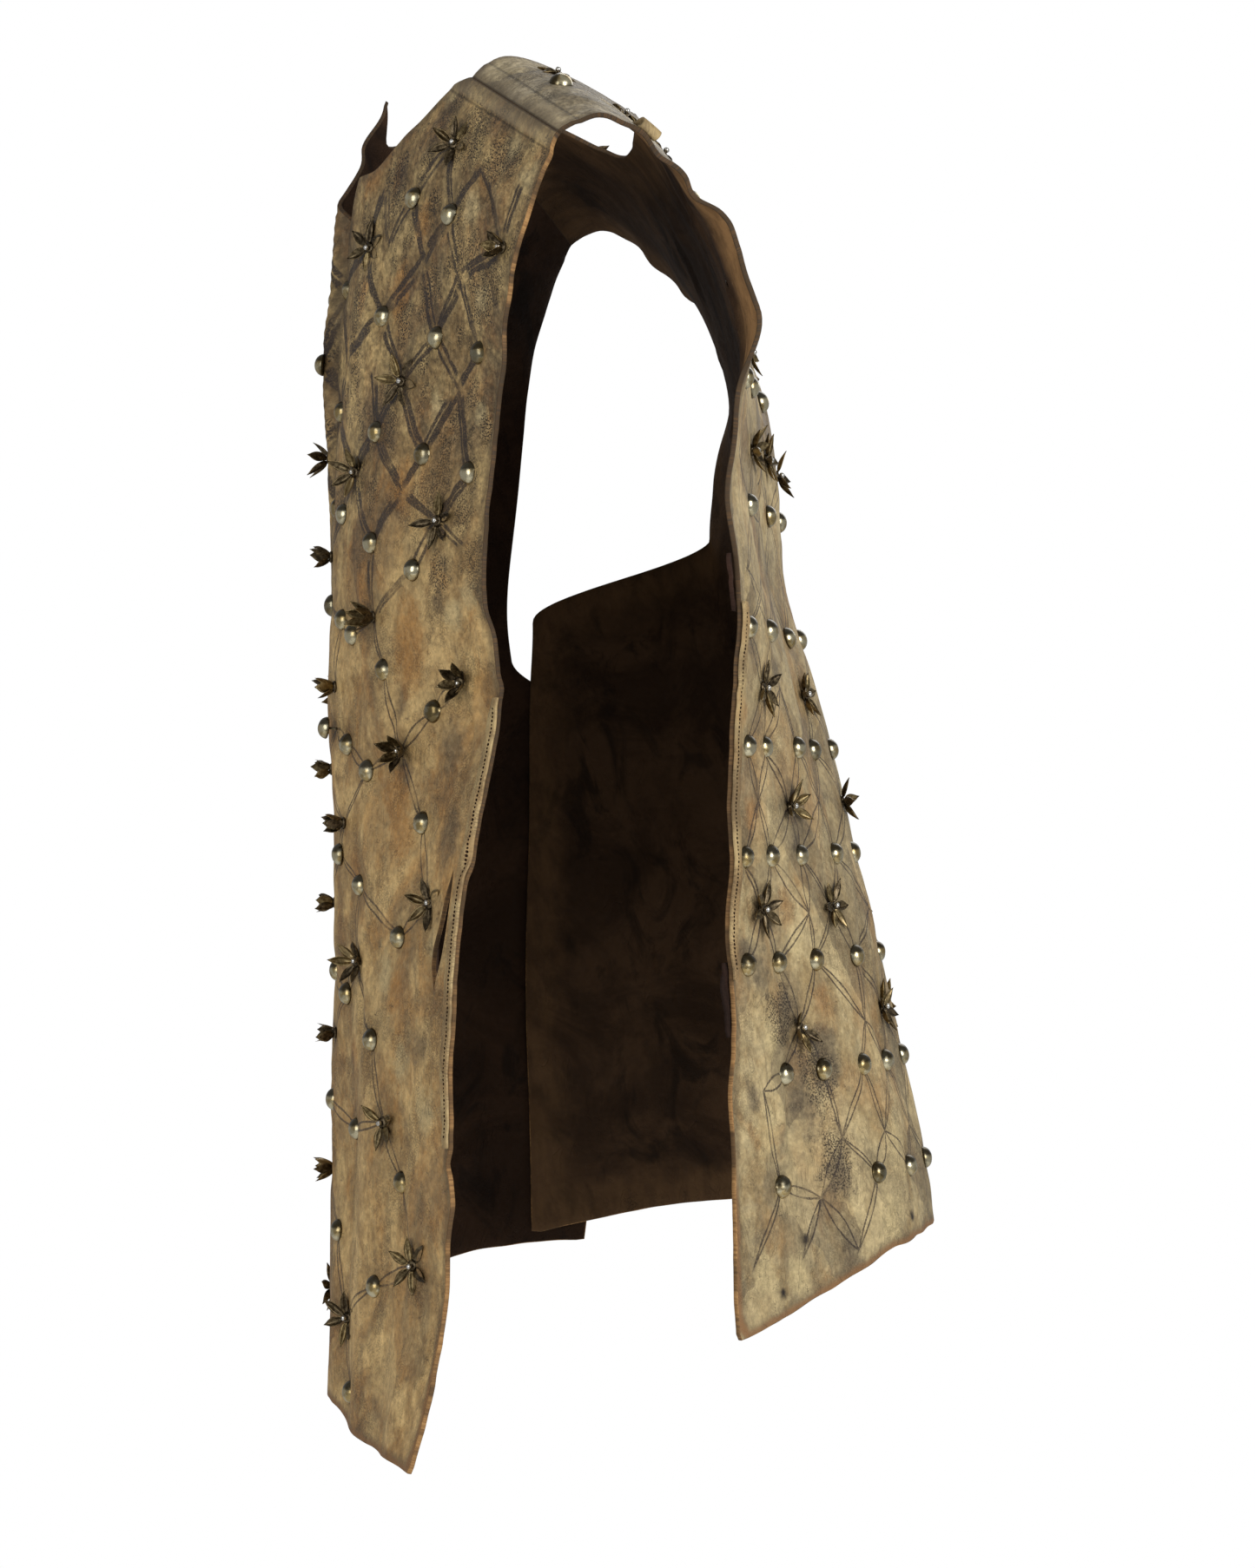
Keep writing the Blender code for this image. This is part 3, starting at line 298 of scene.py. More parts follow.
# Clouds of tone: x and y are pixels of the photo's frame, and reach is in millimetres
CLOUD_KINDS = ("pale", "warm", "dark", "pepper")
CLOUDS = {
    "front_panel": {
        "pale": [
            Cloud(523, 101, 9), Cloud(605, 205, 12), Cloud(554, 344, 10), Cloud(542, 237, 11),
            Cloud(592, 164, 9), Cloud(554, 479, 9), Cloud(522, 707, 10), Cloud(540, 684, 9),
            Cloud(502, 464, 8), Cloud(441, 1124, 12), Cloud(489, 1280, 14), Cloud(461, 1224, 11),
            Cloud(497, 1088, 9),
        ],
        "warm": [
            Cloud(444, 174, 12), Cloud(428, 202, 12), Cloud(485, 256, 12), Cloud(460, 338, 15),
            Cloud(422, 338, 10), Cloud(466, 562, 16), Cloud(474, 717, 16), Cloud(416, 674, 12),
            Cloud(473, 772, 15), Cloud(453, 912, 15), Cloud(461, 964, 15), Cloud(453, 1148, 12),
            Cloud(405, 1212, 10), Cloud(405, 1000, 12),
        ],
        "dark": [
            Cloud(577, 131, 14), Cloud(517, 123, 9), Cloud(451, 504, 8), Cloud(461, 583, 8),
            Cloud(441, 598, 8), Cloud(507, 697, 9), Cloud(521, 864, 15), Cloud(517, 964, 15),
            Cloud(465, 804, 10), Cloud(465, 892, 10), Cloud(485, 1204, 12), Cloud(401, 1220, 9),
        ],
        "pepper": [
            Cloud(542, 152, 13), Cloud(570, 186, 13), Cloud(526, 167, 9), Cloud(567, 325, 11),
            Cloud(457, 230, 9), Cloud(491, 344, 10), Cloud(542, 287, 9), Cloud(542, 451, 8),
            Cloud(428, 567, 8), Cloud(532, 590, 9), Cloud(449, 489, 9), Cloud(507, 664, 9),
        ],
    },
    "back_panel": {
        "pale": [
            Cloud(917, 1084, 9), Cloud(887, 1198, 10), Cloud(887, 1312, 14), Cloud(1034, 1318, 18),
            Cloud(884, 1468, 14), Cloud(1028, 1402, 14), Cloud(926, 1468, 12), Cloud(1010, 1216, 12),
        ],
        "warm": [
            Cloud(908, 1048, 12), Cloud(854, 820, 8), Cloud(950, 1156, 12), Cloud(866, 940, 10),
        ],
        "dark": [
            Cloud(875, 1120, 13), Cloud(908, 1168, 13), Cloud(860, 1096, 8), Cloud(950, 1222, 14),
            Cloud(932, 1276, 15), Cloud(968, 1354, 15), Cloud(866, 1264, 8), Cloud(983, 1444, 12),
            Cloud(890, 772, 9), Cloud(920, 976, 8), Cloud(954, 1200, 10),
        ],
        "pepper": [
            Cloud(900, 1170, 12), Cloud(945, 1240, 14), Cloud(968, 1340, 12),
        ],
    },
}


# Small helpers for numbers

def smooth_step(x):
    x = np.clip(x, 0, 1)
    return x * x * (3 - 2 * x)


def ramp(value, limits):
    """A smooth rise from 0 to 1 between two limits."""
    return smooth_step((value - limits[0]) / (limits[1] - limits[0]))


def soft_noise(x, y, pitch, seed):
    """Smooth uneven heights from -1 to 1, about one bump every pitch."""
    size = 128
    table = np.random.default_rng(seed).uniform(-1, 1, (size, size))
    i, j = np.floor(x / pitch).astype(int), np.floor(y / pitch).astype(int)
    s, t = smooth_step(x / pitch - i), smooth_step(y / pitch - j)
    i, j = i % size, j % size
    i1, j1 = (i + 1) % size, (j + 1) % size
    top = table[i, j] * (1 - s) + table[i1, j] * s
    low = table[i, j1] * (1 - s) + table[i1, j1] * s
    return top * (1 - t) + low * t


# The drape: from the flat leather to its place on the wearer

def spline_slopes(stations, rows):
    """Slopes of the smooth cubic through the section rows."""
    count = len(stations)
    step = np.diff(stations)
    left = np.zeros((count, count))
    right = np.zeros_like(rows)
    left[0, :2] = 2, 1
    right[0] = 3 * (rows[1] - rows[0]) / step[0]
    left[-1, -2:] = 1, 2
    right[-1] = 3 * (rows[-1] - rows[-2]) / step[-1]
    for i in range(1, count - 1):
        left[i, i - 1:i + 2] = step[i], 2 * (step[i - 1] + step[i]), step[i - 1]
        before = (rows[i] - rows[i - 1]) / step[i - 1]
        after = (rows[i + 1] - rows[i]) / step[i]
        right[i] = 3 * (before * step[i] + after * step[i - 1])
    return np.linalg.solve(left, right)


def section_point(row, share, far):
    """A point on a cross-section, from its middle (share 0) to its edge (share 1).

    The closed side wraps the wearer, and the open side hangs nearly flat up to its edge.
    """
    share = share[..., None]
    edge_x = np.where(far, row[..., 5], row[..., 2])
    middle = np.stack([np.zeros_like(edge_x), row[..., 0], row[..., 1]], -1)
    edge = np.stack([edge_x, row[..., 3], row[..., 4]], -1)
    bulge = row[..., 6:7]
    reach = np.where(far[..., None], CIRCLE_HANDLE, OPEN_SIDE_HANDLE)
    edge_bulge = bulge * np.where(far[..., None], 1.0, OPEN_SIDE_ROUND)
    straight_1 = middle + (edge - middle) / 3
    straight_2 = middle + (edge - middle) * 2 / 3
    round_1 = middle + (edge - middle) * np.array([1.0, 0, 0]) * reach
    round_2 = edge + (middle - edge) * np.array([0, CIRCLE_HANDLE, CIRCLE_HANDLE])
    handle_1 = straight_1 + (round_1 - straight_1) * bulge
    handle_2 = straight_2 + (round_2 - straight_2) * edge_bulge
    rest = 1 - share
    first_half = rest**3 * middle + 3 * share * rest**2 * handle_1
    return first_half + 3 * share**2 * rest * handle_2 + share**3 * edge


def make_panel(name, out, sections, folds, overlap, creases, number):
    """A panel's sections as rows, with how far down the leather each one lies."""
    rows = np.array(sections)
    middle = section_point(rows, np.full(len(rows), ROW_STATION), np.zeros(len(rows), bool))
    lengths = np.linalg.norm(np.diff(middle, axis=0), axis=1)
    stations = np.concatenate([[0], np.cumsum(lengths)])
    return Panel(name, out, rows, folds, stations, spline_slopes(stations, rows), overlap, creases, number)


def row_at(panel, down):
    """The section at a distance down the leather."""
    index = np.clip(np.searchsorted(panel.stations, down) - 1, 0, len(panel.stations) - 2)
    step = panel.stations[index + 1] - panel.stations[index]
    t = ((down - panel.stations[index]) / step)[..., None]
    step = step[..., None]
    start, end = panel.sections[index], panel.sections[index + 1]
    slope_0, slope_1 = panel.slopes[index] * step, panel.slopes[index + 1] * step
    return ((2 * t**3 - 3 * t**2 + 1) * start + (t**3 - 2 * t**2 + t) * slope_0
            + (3 * t**2 - 2 * t**3) * end + (t**3 - t**2) * slope_1)


def section_arcs(panel, down, far):
    """The points of each section and the length along the leather to each of them."""
    shares = np.linspace(0, 1, ARC_STEPS)
    row = row_at(panel, down)[..., None, :]
    row = np.repeat(row, ARC_STEPS, axis=-2)
    points = section_point(row, np.broadcast_to(shares, row.shape[:-1]), far[..., None])
    steps = np.linalg.norm(np.diff(points, axis=-2), axis=-1)
    lengths = np.concatenate([np.zeros(steps.shape[:-1] + (1,)), np.cumsum(steps, axis=-1)], axis=-1)
    return points, lengths


def surface(panel, across, down):
    """Where a place on the flat leather lies on the wearer, before the folds."""
    far = across < 0
    points, lengths = section_arcs(panel, down, far)
    reach = np.abs(across)
    total = lengths[..., -1]
    inside = np.minimum(reach, total)
    index = np.clip((lengths < inside[..., None]).sum(-1) - 1, 0, ARC_STEPS - 2)
    picked = np.arange(len(across))
    start, end = lengths[picked, index], lengths[picked, index + 1]
    t = ((inside - start) / (end - start))[:, None]
    place = points[picked, index] * (1 - t) + points[picked, index + 1] * t
    along = points[:, -1] - points[:, -2]
    along[far, 0] = 0
    along /= np.linalg.norm(along, axis=1)[:, None]
    place = place + along * (reach - inside)[:, None]
    place[:, 0] *= np.where(far, -1, 1)
    return place


class Drape:
    """A worn panel, read from a close grid of points over its flat leather."""

    def __init__(self, panel):
        self.panel = panel
        self.low = np.array([-0.42, -0.004])
        counts = (286, 346)
        self.across = self.low[0] + LOOKUP_PITCH * np.arange(counts[0])
        self.down = self.low[1] + LOOKUP_PITCH * np.arange(counts[1])
        self.places = np.stack([surface(panel, self.across, np.full(counts[0], d)) for d in self.down], 1)
        sideways = np.gradient(self.places, LOOKUP_PITCH, axis=0)
        downwards = np.gradient(self.places, LOOKUP_PITCH, axis=1)
        normal = np.cross(sideways, downwards) * panel.out
        self.normals = normal / np.linalg.norm(normal, axis=2)[..., None]
        self.reach = {}
        for far in (False, True):
            lengths = section_arcs(panel, self.down, np.full(counts[1], far))[1][..., -1]
            self.reach[far] = lengths

    def read(self, table, across, down):
        x = np.clip((across - self.low[0]) / LOOKUP_PITCH, 0, table.shape[0] - 1.001)
        y = np.clip((down - self.low[1]) / LOOKUP_PITCH, 0, table.shape[1] - 1.001)
        i, j = x.astype(int), y.astype(int)
        s, t = (x - i)[:, None], (y - j)[:, None]
        top = table[i, j] * (1 - s) + table[i + 1, j] * s
        low = table[i, j + 1] * (1 - s) + table[i + 1, j + 1] * s
        return top * (1 - t) + low * t

    def half_width(self, down, far=False):
        """The length along the leather from the middle to the side edge."""
        return np.interp(down, self.down, self.reach[far])

    def own_normal(self, across, down):
        normal = self.read(self.normals, across, down)
        return normal / np.linalg.norm(normal, axis=1)[:, None]


def seam_normal(across):
    """The direction shared by both panels along the shoulder seam."""
    start = np.zeros_like(across)
    both = DRAPES["front"].own_normal(across, start) + DRAPES["back"].own_normal(across, start)
    return both / np.linalg.norm(both, axis=1)[:, None]


def outward(drape, across, down):
    """The outward direction, turned into the seam's own near the shoulder."""
    own = drape.own_normal(across, down)
    share = smooth_step(down / SEAM_BLEND)[:, None]
    mixed = own * share + seam_normal(across) * (1 - share)
    return mixed / np.linalg.norm(mixed, axis=1)[:, None]


def fold_depth(panel, across, down):
    """How far the large soft folds move the leather out."""
    depth = np.zeros_like(across)
    for fold in panel.folds:
        t = (down - fold.top) / (fold.bottom - fold.top)
        middle = fold.across + fold.lean * t
        along = np.sin(math.pi * np.clip(t, 0, 1)) ** 2 if fold.bottom < 0.75 else smooth_step(t * 1.6)
        depth += fold.depth * along * np.exp(-((across - middle) / fold.width) ** 2)
    return depth


def slit_shift(panel, across, down):
    """On the wearer's right of the neck slit the leather stands forward, and its corner points up."""
    if panel.out > 0:
        return np.zeros((len(across), 3))
    right = smooth_step(-across / SLIT_STEP_RUN)
    away = np.hypot(across - FLAP_CENTRE[0], down - FLAP_CENTRE[1]) / FLAP_RADIUS
    flap = right * smooth_step(1 - away)
    along = ramp(down, SLIT_STEP_TOP) * (1 - ramp(down, SLIT_STEP_FADE))
    step = right * (1 - ramp(-across, SLIT_STEP_WIDTH)) * along
    return (flap[:, None] * np.array([0.0, -FLAP_FORWARD, FLAP_UP])
            + step[:, None] * np.array([0.0, -SLIT_STEP, 0.0]))


def from_side_edge(drape, across, down):
    """The distance in from the side edge of the armhole and the open side, on either side."""
    edge = np.where(across > 0, drape.half_width(down), drape.half_width(down, True))
    return edge - np.abs(across)


def armhole_curl(drape, across, down):
    """The back armhole edge curls outwards on both sides, so that its inner face shows."""
    if drape.panel.out < 0:
        return np.zeros(len(across))
    t = (down - CURL_RANGE[0]) / (CURL_RANGE[1] - CURL_RANGE[0])
    window = np.sin(math.pi * np.clip(t, 0, 1)) ** 2
    inward = from_side_edge(drape, across, down)
    return CURL_OUT * window * np.exp(-np.maximum(inward, 0) / CURL_REACH)


# Fine relief of the hide

SEAM_WELT = 0.0125
SEAM_WELT_RISE = 0.0010
PUCKER_DEPTH = 0.0016
PUCKER_REACH = 0.010
CREASE_SCALE = 1.7
LIP_REACH = 0.006
EDGE_WAVE = 0.0022
EDGE_WAVE_PITCH = 0.056
EDGE_WAVE_REACH = 0.012


def crease_depth(crease, across, down):
    """A soft trough with a low ridge beside it, fading at both ends and slightly bowed."""
    angle = math.radians(crease.turn)
    x, y = across - crease.across, down - crease.down
    along = x * math.sin(angle) + y * math.cos(angle)
    beside = x * math.cos(angle) - y * math.sin(angle) + 0.6 * along**2 / crease.length
    t = np.clip(along / crease.length + 0.5, 0, 1)
    window = np.sin(math.pi * t) ** 1.5
    trough = np.exp(-(beside / crease.width) ** 2)
    ridge = np.exp(-((beside - 2.0 * crease.width) / (1.3 * crease.width)) ** 2)
    return crease.depth * window * (trough - 0.45 * ridge)


def relief(drape, across, down):
    """The fine height of the hide over its plain surface: creases, puckers, welts and waviness."""
    panel = drape.panel
    height = np.zeros_like(across)
    for crease in panel.creases:
        height += CREASE_SCALE * crease_depth(crease, across, down)
    number = panel.number
    height += 0.0020 * soft_noise(across, down * 0.7, 0.052, 11 + number)
    height += 0.0009 * soft_noise(across, down * 0.55, 0.019, 21 + number)
    height += 0.00030 * soft_noise(across, down * 0.6, 0.0085, 31 + number)
    height *= smooth_step(down / 0.02)
    welt = smooth_step((SEAM_WELT - down) / 0.003)
    height += SEAM_WELT_RISE * welt * smooth_step(down / 0.002 + 0.4)
    for place in FEATURE_PLACES[panel.name]:
        away = np.hypot(across - place[0], down - place[1])
        near = away < 4 * PUCKER_REACH
        height[near] -= PUCKER_DEPTH * np.exp(-(away[near] / PUCKER_REACH) ** 2)
    inward = np.maximum(from_side_edge(drape, across, down), 0)
    wave = np.sin(
        2 * math.pi * down / EDGE_WAVE_PITCH + 2.6 * soft_noise(down, down * 0, 0.08, 41 + number)
    )
    strong = 1.2 if panel.out > 0 else 0.15
    open_part = ramp(down, (0.03, 0.10)) * (1 - 0.9 * ramp(down, (0.24, 0.36)))
    height += EDGE_WAVE * strong * wave * open_part * np.exp(-inward / EDGE_WAVE_REACH)
    if panel.out < 0:
        height += rip_lip(across, down) + slit_lip(across, down)
    return height


def slit_lip(across, down):
    """Down the middle cut the wearer's left stands a little proud of the wearer's right."""
    window = ramp(down, (0.050, 0.090)) * (1 - ramp(down, (0.220, 0.310)))
    side = np.where(across > 0, 0.0017, -0.0012)
    return side * window * np.exp(-np.abs(across) / LIP_REACH)


def rip_lip(across, down):
    """The rolled lip on the inner side of the rip in the front panel."""
    outer_side = np.array(RIP[:5])
    beside = across - np.interp(down, outer_side[:, 1], outer_side[:, 0]) + 0.006
    window = ramp(down, (0.462, 0.492)) * (1 - ramp(down, (0.540, 0.575)))
    return 0.0012 * window * np.exp(-(beside / 0.0034) ** 2)


def worn(drape, across, down, lift=0.0, fine=True):
    """Points of the worn panel, moved out by lift."""
    across = np.asarray(across, float)
    down = np.asarray(down, float)
    panel = drape.panel
    height = fold_depth(panel, across, down) + armhole_curl(drape, across, down) + lift
    if fine:
        height = height + relief(drape, across, down)
    place = drape.read(drape.places, across, down) + slit_shift(panel, across, down)
    return place + outward(drape, across, down) * height[:, None]


# Outlines on the flat leather

def hem_down(panel, across):
    """The hem's depth, eased between the places that shape it."""
    table = np.array(FRONT_HEM if panel.out < 0 else BACK_HEM)
    shifts = np.linspace(-0.014, 0.014, 7)
    return np.mean([np.interp(across + s, table[:, 0], table[:, 1]) for s in shifts], axis=0)


def far_edge(drape, down):
    """The edge on the wearer's right, which steps out below the armhole to lap over the other panel."""
    step = smooth_step((down - ARMPIT_START) / (ARMPIT_END - ARMPIT_START))
    return -drape.half_width(down, True) - drape.panel.overlap * step


def spaced(line, step):
    """A line of points spaced evenly along its length, both ends kept."""
    lengths = np.concatenate([[0], np.cumsum(np.linalg.norm(np.diff(line, axis=0), axis=1))])
    count = max(round(lengths[-1] / step), 2)
    at = np.linspace(0, lengths[-1], count + 1)
    return np.stack([np.interp(at, lengths, line[:, 0]), np.interp(at, lengths, line[:, 1])], 1)


def curve_through(points, corners=()):
    """A smooth curve through points, with a sharp turn at each of the corners."""
    points = np.array(points)
    slopes = np.gradient(points, axis=0)
    sharp = [any(np.allclose(p, c, atol=1e-6) for c in corners) for p in points]
    line = []
    t = np.linspace(0, 1, 12, endpoint=False)[:, None]
    for k in range(len(points) - 1):
        start, end = points[k], points[k + 1]
        slope_0 = (end - start) if sharp[k] else slopes[k]
        slope_1 = (end - start) if sharp[k + 1] else slopes[k + 1]
        line.append((2 * t**3 - 3 * t**2 + 1) * start + (t**3 - 2 * t**2 + t) * slope_0
                    + (3 * t**2 - 2 * t**3) * end + (t**3 - t**2) * slope_1)
    return np.concatenate(line + [points[-1:]])


def side_bottom(drape, near):
    """Where a side edge meets the hem."""
    bottom = 0.8
    for _ in range(6):
        down = np.array([bottom])
        edge = drape.half_width(down)[0] if near else far_edge(drape, down)[0]
        bottom = float(hem_down(drape.panel, np.array([edge]))[0])
    return bottom


def outline(drape):
    """The panel's cut edge, once round, with the small unevenness of a hand-cut edge."""
    panel = drape.panel
    near_down = np.arange(SEAM_GAP, side_bottom(drape, True), 0.002)
    near = np.stack([drape.half_width(near_down) + side_ragged(panel, near_down), near_down], 1)
    far_down = np.arange(SEAM_GAP, side_bottom(drape, False), 0.002)[::-1]
    far = np.stack([far_edge(drape, far_down), far_down], 1)
    hem_across = np.arange(near[-1, 0], far[0, 0], -0.002)[1:-1]
    uneven = 0.0009 * soft_noise(hem_across, hem_across * 0, 0.017, 51 + panel.number)
    hem = np.stack([hem_across, hem_down(panel, hem_across) + uneven], 1)
    seam_start, seam_end = np.array([NECK_HALF, SEAM_GAP]), near[0]
    far_seam_end = np.array([-NECK_HALF, SEAM_GAP])
    neckline = FRONT_NECKLINE if panel.out < 0 else BACK_NECKLINE
    neck = curve_through([far_seam_end] + neckline + [seam_start], NECK_CORNERS)
    lines = [np.array([seam_start, seam_end]), near, hem, far, np.array([far[-1], far_seam_end]), neck]
    return np.concatenate([spaced(line, EDGE_STEP)[:-1] for line in lines])


NOTCH_DOWN = 0.640
SWELL_DOWN = 0.664


def side_ragged(panel, down):
    """How far the open side's edge departs from its line, with the notch and the swell below the strip."""
    number = panel.number
    wander = 0.0009 * soft_noise(down, down * 0, 0.031, 61 + number)
    wander += 0.0004 * soft_noise(down, down * 0, 0.008, 71 + number)
    if panel.out < 0:
        notch = -0.0042 * np.exp(-((down - NOTCH_DOWN) / 0.0055) ** 2)
        swell = 0.0040 * np.exp(-((down - SWELL_DOWN) / 0.014) ** 2)
        wander += notch + swell
        wander += 0.0030 * np.exp(-((down - 0.366) / 0.006) ** 2)
    return wander * smooth_step(down / 0.02)


def signed_area(loop):
    after = np.roll(loop, -1, axis=0)
    return 0.5 * (loop[:, 0] * after[:, 1] - after[:, 0] * loop[:, 1]).sum()


def loop_normals(loop):
    """Directions out of the leather at each point of its cut edge, for an outline or for a hole."""
    run = np.roll(loop, -1, axis=0) - np.roll(loop, 1, axis=0)
    run /= np.linalg.norm(run, axis=1)[:, None]
    out = np.stack([run[:, 1], -run[:, 0]], 1)
    return out if signed_area(loop) > 0 else -out


# Meshes over the flat leather

def inside_polygon(points, polygon):
    """Which points lie inside a closed outline."""
    inside = np.zeros(len(points), bool)
    x, y = points[:, 0], points[:, 1]
    for a, b in zip(polygon, np.roll(polygon, -1, axis=0)):
        if a[1] == b[1]:
            continue
        crosses = (a[1] > y) != (b[1] > y)
        at = a[0] + (y - a[1]) * (b[0] - a[0]) / (b[1] - a[1])
        inside ^= crosses & (x < at)
    return inside


def edge_distance(points, polygon):
    """The distance from each point to the nearest side of an outline."""
    best = np.full(len(points), np.inf)
    for a, b in zip(polygon, np.roll(polygon, -1, axis=0)):
        along = b - a
        t = np.clip(((points - a) @ along) / (along @ along), 0, 1)
        away = points - a - t[:, None] * along
        best = np.minimum(best, (away**2).sum(1))
    return np.sqrt(best)


def filling_points(loops, pitch):
    """A triangular grid over the leather, kept clear of its edges."""
    low, high = loops[0].min(0), loops[0].max(0)
    rise = pitch * math.sqrt(3) / 2
    rows = np.arange(low[1], high[1], rise)
    points = []
    for j, y in enumerate(rows):
        x = np.arange(low[0] - 0.5 * (j % 2) * pitch, high[0] + pitch, pitch)
        points.append(np.stack([x, np.full_like(x, y)], 1))
    points = np.concatenate(points)
    points = points[inside_polygon(points, loops[0])]
    keep = edge_distance(points, loops[0]) > pitch * 0.55
    for hole in loops[1:]:
        reach = np.linalg.norm(hole - hole.mean(0), axis=1).max() + pitch
        near = np.linalg.norm(points - hole.mean(0), axis=1) < reach
        check = points[near]
        keep[near] &= ~inside_polygon(check, hole) & (edge_distance(check, hole) > pitch * 0.5)
    return points[keep]


def triangulate(loops, pitch):
    """Triangles over the outline, less its holes."""
    points = np.concatenate(loops + [filling_points(loops, pitch)])
    edges = []
    ranges = []
    start = 0
    for loop in loops:
        count = len(loop)
        ranges.append((start, count))
        edges += [(start + k, start + (k + 1) % count) for k in range(count)]
        start += count
    found = delaunay_2d_cdt([Vector(p) for p in points], edges, [], 0, 1e-8, True)
    places, _, triangles, origins = found[:4]
    if len(places) != len(points):
        raise ValueError("two edges of the cut cross")
    name = np.array([origin[0] for origin in origins])
    triangles = name[np.array(triangles)]
    centres = points[triangles].mean(1)
    border = (triangles < start).all(1)
    keep = np.ones(len(triangles), bool)
    suspects = np.flatnonzero(border)
    keep[suspects] = inside_polygon(centres[suspects], loops[0])
    for (first, count), hole in list(zip(ranges, loops))[1:]:
        own = np.flatnonzero(((triangles >= first) & (triangles < first + count)).all(1))
        keep[own] &= ~inside_polygon(centres[own], hole)
    return points, triangles[keep], ranges


class Shell:
    """Points and faces gathered for one piece, with the named values that its material reads."""

    def __init__(self):
        self.points, self.faces, self.finishes = [], [], []
        self.values = {}
        self.count = 0

    def add_points(self, points, **values):
        first = self.count
        self.points.append(np.asarray(points, float))
        self.count += len(points)
        for name, value in values.items():
            self.values.setdefault(name, []).append(
                np.broadcast_to(np.asarray(value, float), (len(points), 3))
            )
        return first

    def add_faces(self, faces, finish=0):
        self.faces.extend(faces.tolist() if isinstance(faces, np.ndarray) else faces)
        self.finishes.extend([finish] * len(faces))

    def piece(self, name, finishes, corner_values=None):
        mesh = bpy.data.meshes.new(name)
        mesh.from_pydata(np.concatenate(self.points).tolist(), [], self.faces)
        for finish in finishes:
            mesh.materials.append(finish)
        mesh.polygons.foreach_set("material_index", self.finishes)
        for label, parts in self.values.items():
            layer = mesh.attributes.new(label, "FLOAT_VECTOR", "POINT")
            layer.data.foreach_set("vector", np.concatenate(parts).astype(np.float32).ravel())
        for label, values in (corner_values or {}).items():
            layer = mesh.attributes.new(label, "FLOAT_VECTOR", "CORNER")
            layer.data.foreach_set("vector", values.astype(np.float32).ravel())
        mesh.shade_smooth()
        mesh.validate()
        made = bpy.data.objects.new(name, mesh)
        bpy.context.scene.collection.objects.link(made)
        return made


def leather_sheet(
        loops, pitches, place, thickness, flip, number, rounding=EDGE_ROUND, inks=None, marks=None,
        hole_finish=2):
    """A sheet of leather with two faces and a rounded cut edge.

    place(across, down, lift) gives its points. Finish 0 is the grain face, 1 the flesh face and 2 the cut
    edge.
    """
    normals = [loop_normals(loop) * (1 if k == 0 else -1) for k, loop in enumerate(loops)]
    inset = [loop - normal * rounding for loop, normal in zip(loops, normals)]
    shell = Shell()
    faces = []
    first = []
    for pitch, lift, turned in ((pitches[0], 0.0, flip), (pitches[1], -thickness, not flip)):
        flat, triangles, ranges = triangulate(inset, pitch)
        start = shell.add_points(
            place(flat[:, 0], flat[:, 1], np.full(len(flat), lift)),
            flat=np.column_stack([flat, np.full(len(flat), number)]),
            **(marks(flat) if marks else {"marks": np.zeros(3)}),
        )
        shell.add_faces((triangles[:, ::-1] if turned else triangles) + start, len(first))
        faces.append((flat, triangles[:, ::-1] if turned else triangles))
        first.append(start)
    for (begin, count), loop, normal in zip(ranges, loops, normals):
        levels = [(0.0, 0.0)] + [(r * rounding, d * rounding) for r, d in RIM_ROWS]
        levels += [(r, thickness - d) for r, d in levels[::-1]]
        lines = [first[0] + begin + np.arange(count)]
        for reach, depth in levels[1:-1]:
            flat = loop - normal * (rounding - reach)
            start = shell.add_points(
                place(flat[:, 0], flat[:, 1], np.full(count, -depth)),
                flat=np.column_stack([flat, np.full(count, number)]),
                **(marks(flat) if marks else {"marks": np.zeros(3)}),
            )
            lines.append(start + np.arange(count))
        lines.append(first[1] + begin + np.arange(count))
        same = (signed_area(loop) > 0) == (loop is loops[0])
        for upper, lower in zip(lines, lines[1:]):
            after_upper, after_lower = np.roll(upper, -1), np.roll(lower, -1)
            quads = np.stack([upper, lower, after_lower, after_upper], 1)
            wanted = flip if same else not flip
            shell.add_faces(quads[:, ::-1] if wanted else quads, 2 if loop is loops[0] else hole_finish)
    corner_values = {}
    if inks is not None:
        flat, triangles = faces[0]
        for label, values in inks(flat, triangles).items():
            rest = sum(len(f) for f in shell.faces) - values.shape[0]
            blank = np.tile(np.array([0.5, 99.0, 0.5]), (rest, 1))
            corner_values[label] = np.concatenate([values, blank])
    return shell, corner_values


# Studs and flowers

def stud_places(rows):
    return [
        (across, row.down + row.slope * max(abs(across) - 0.02, 0.0))
        for row in rows for across in row.across
    ]


STUD_PLACES = {"front_panel": stud_places(FRONT_STUDS), "back_panel": stud_places(BACK_STUDS)}
FLOWER_PLACES = {"front_panel": FRONT_FLOWERS, "back_panel": BACK_FLOWERS}
FEATURE_PLACES = {
    name: STUD_PLACES[name] + [(f.across, f.down) for f in FLOWER_PLACES[name]] for name in STUD_PLACES
}

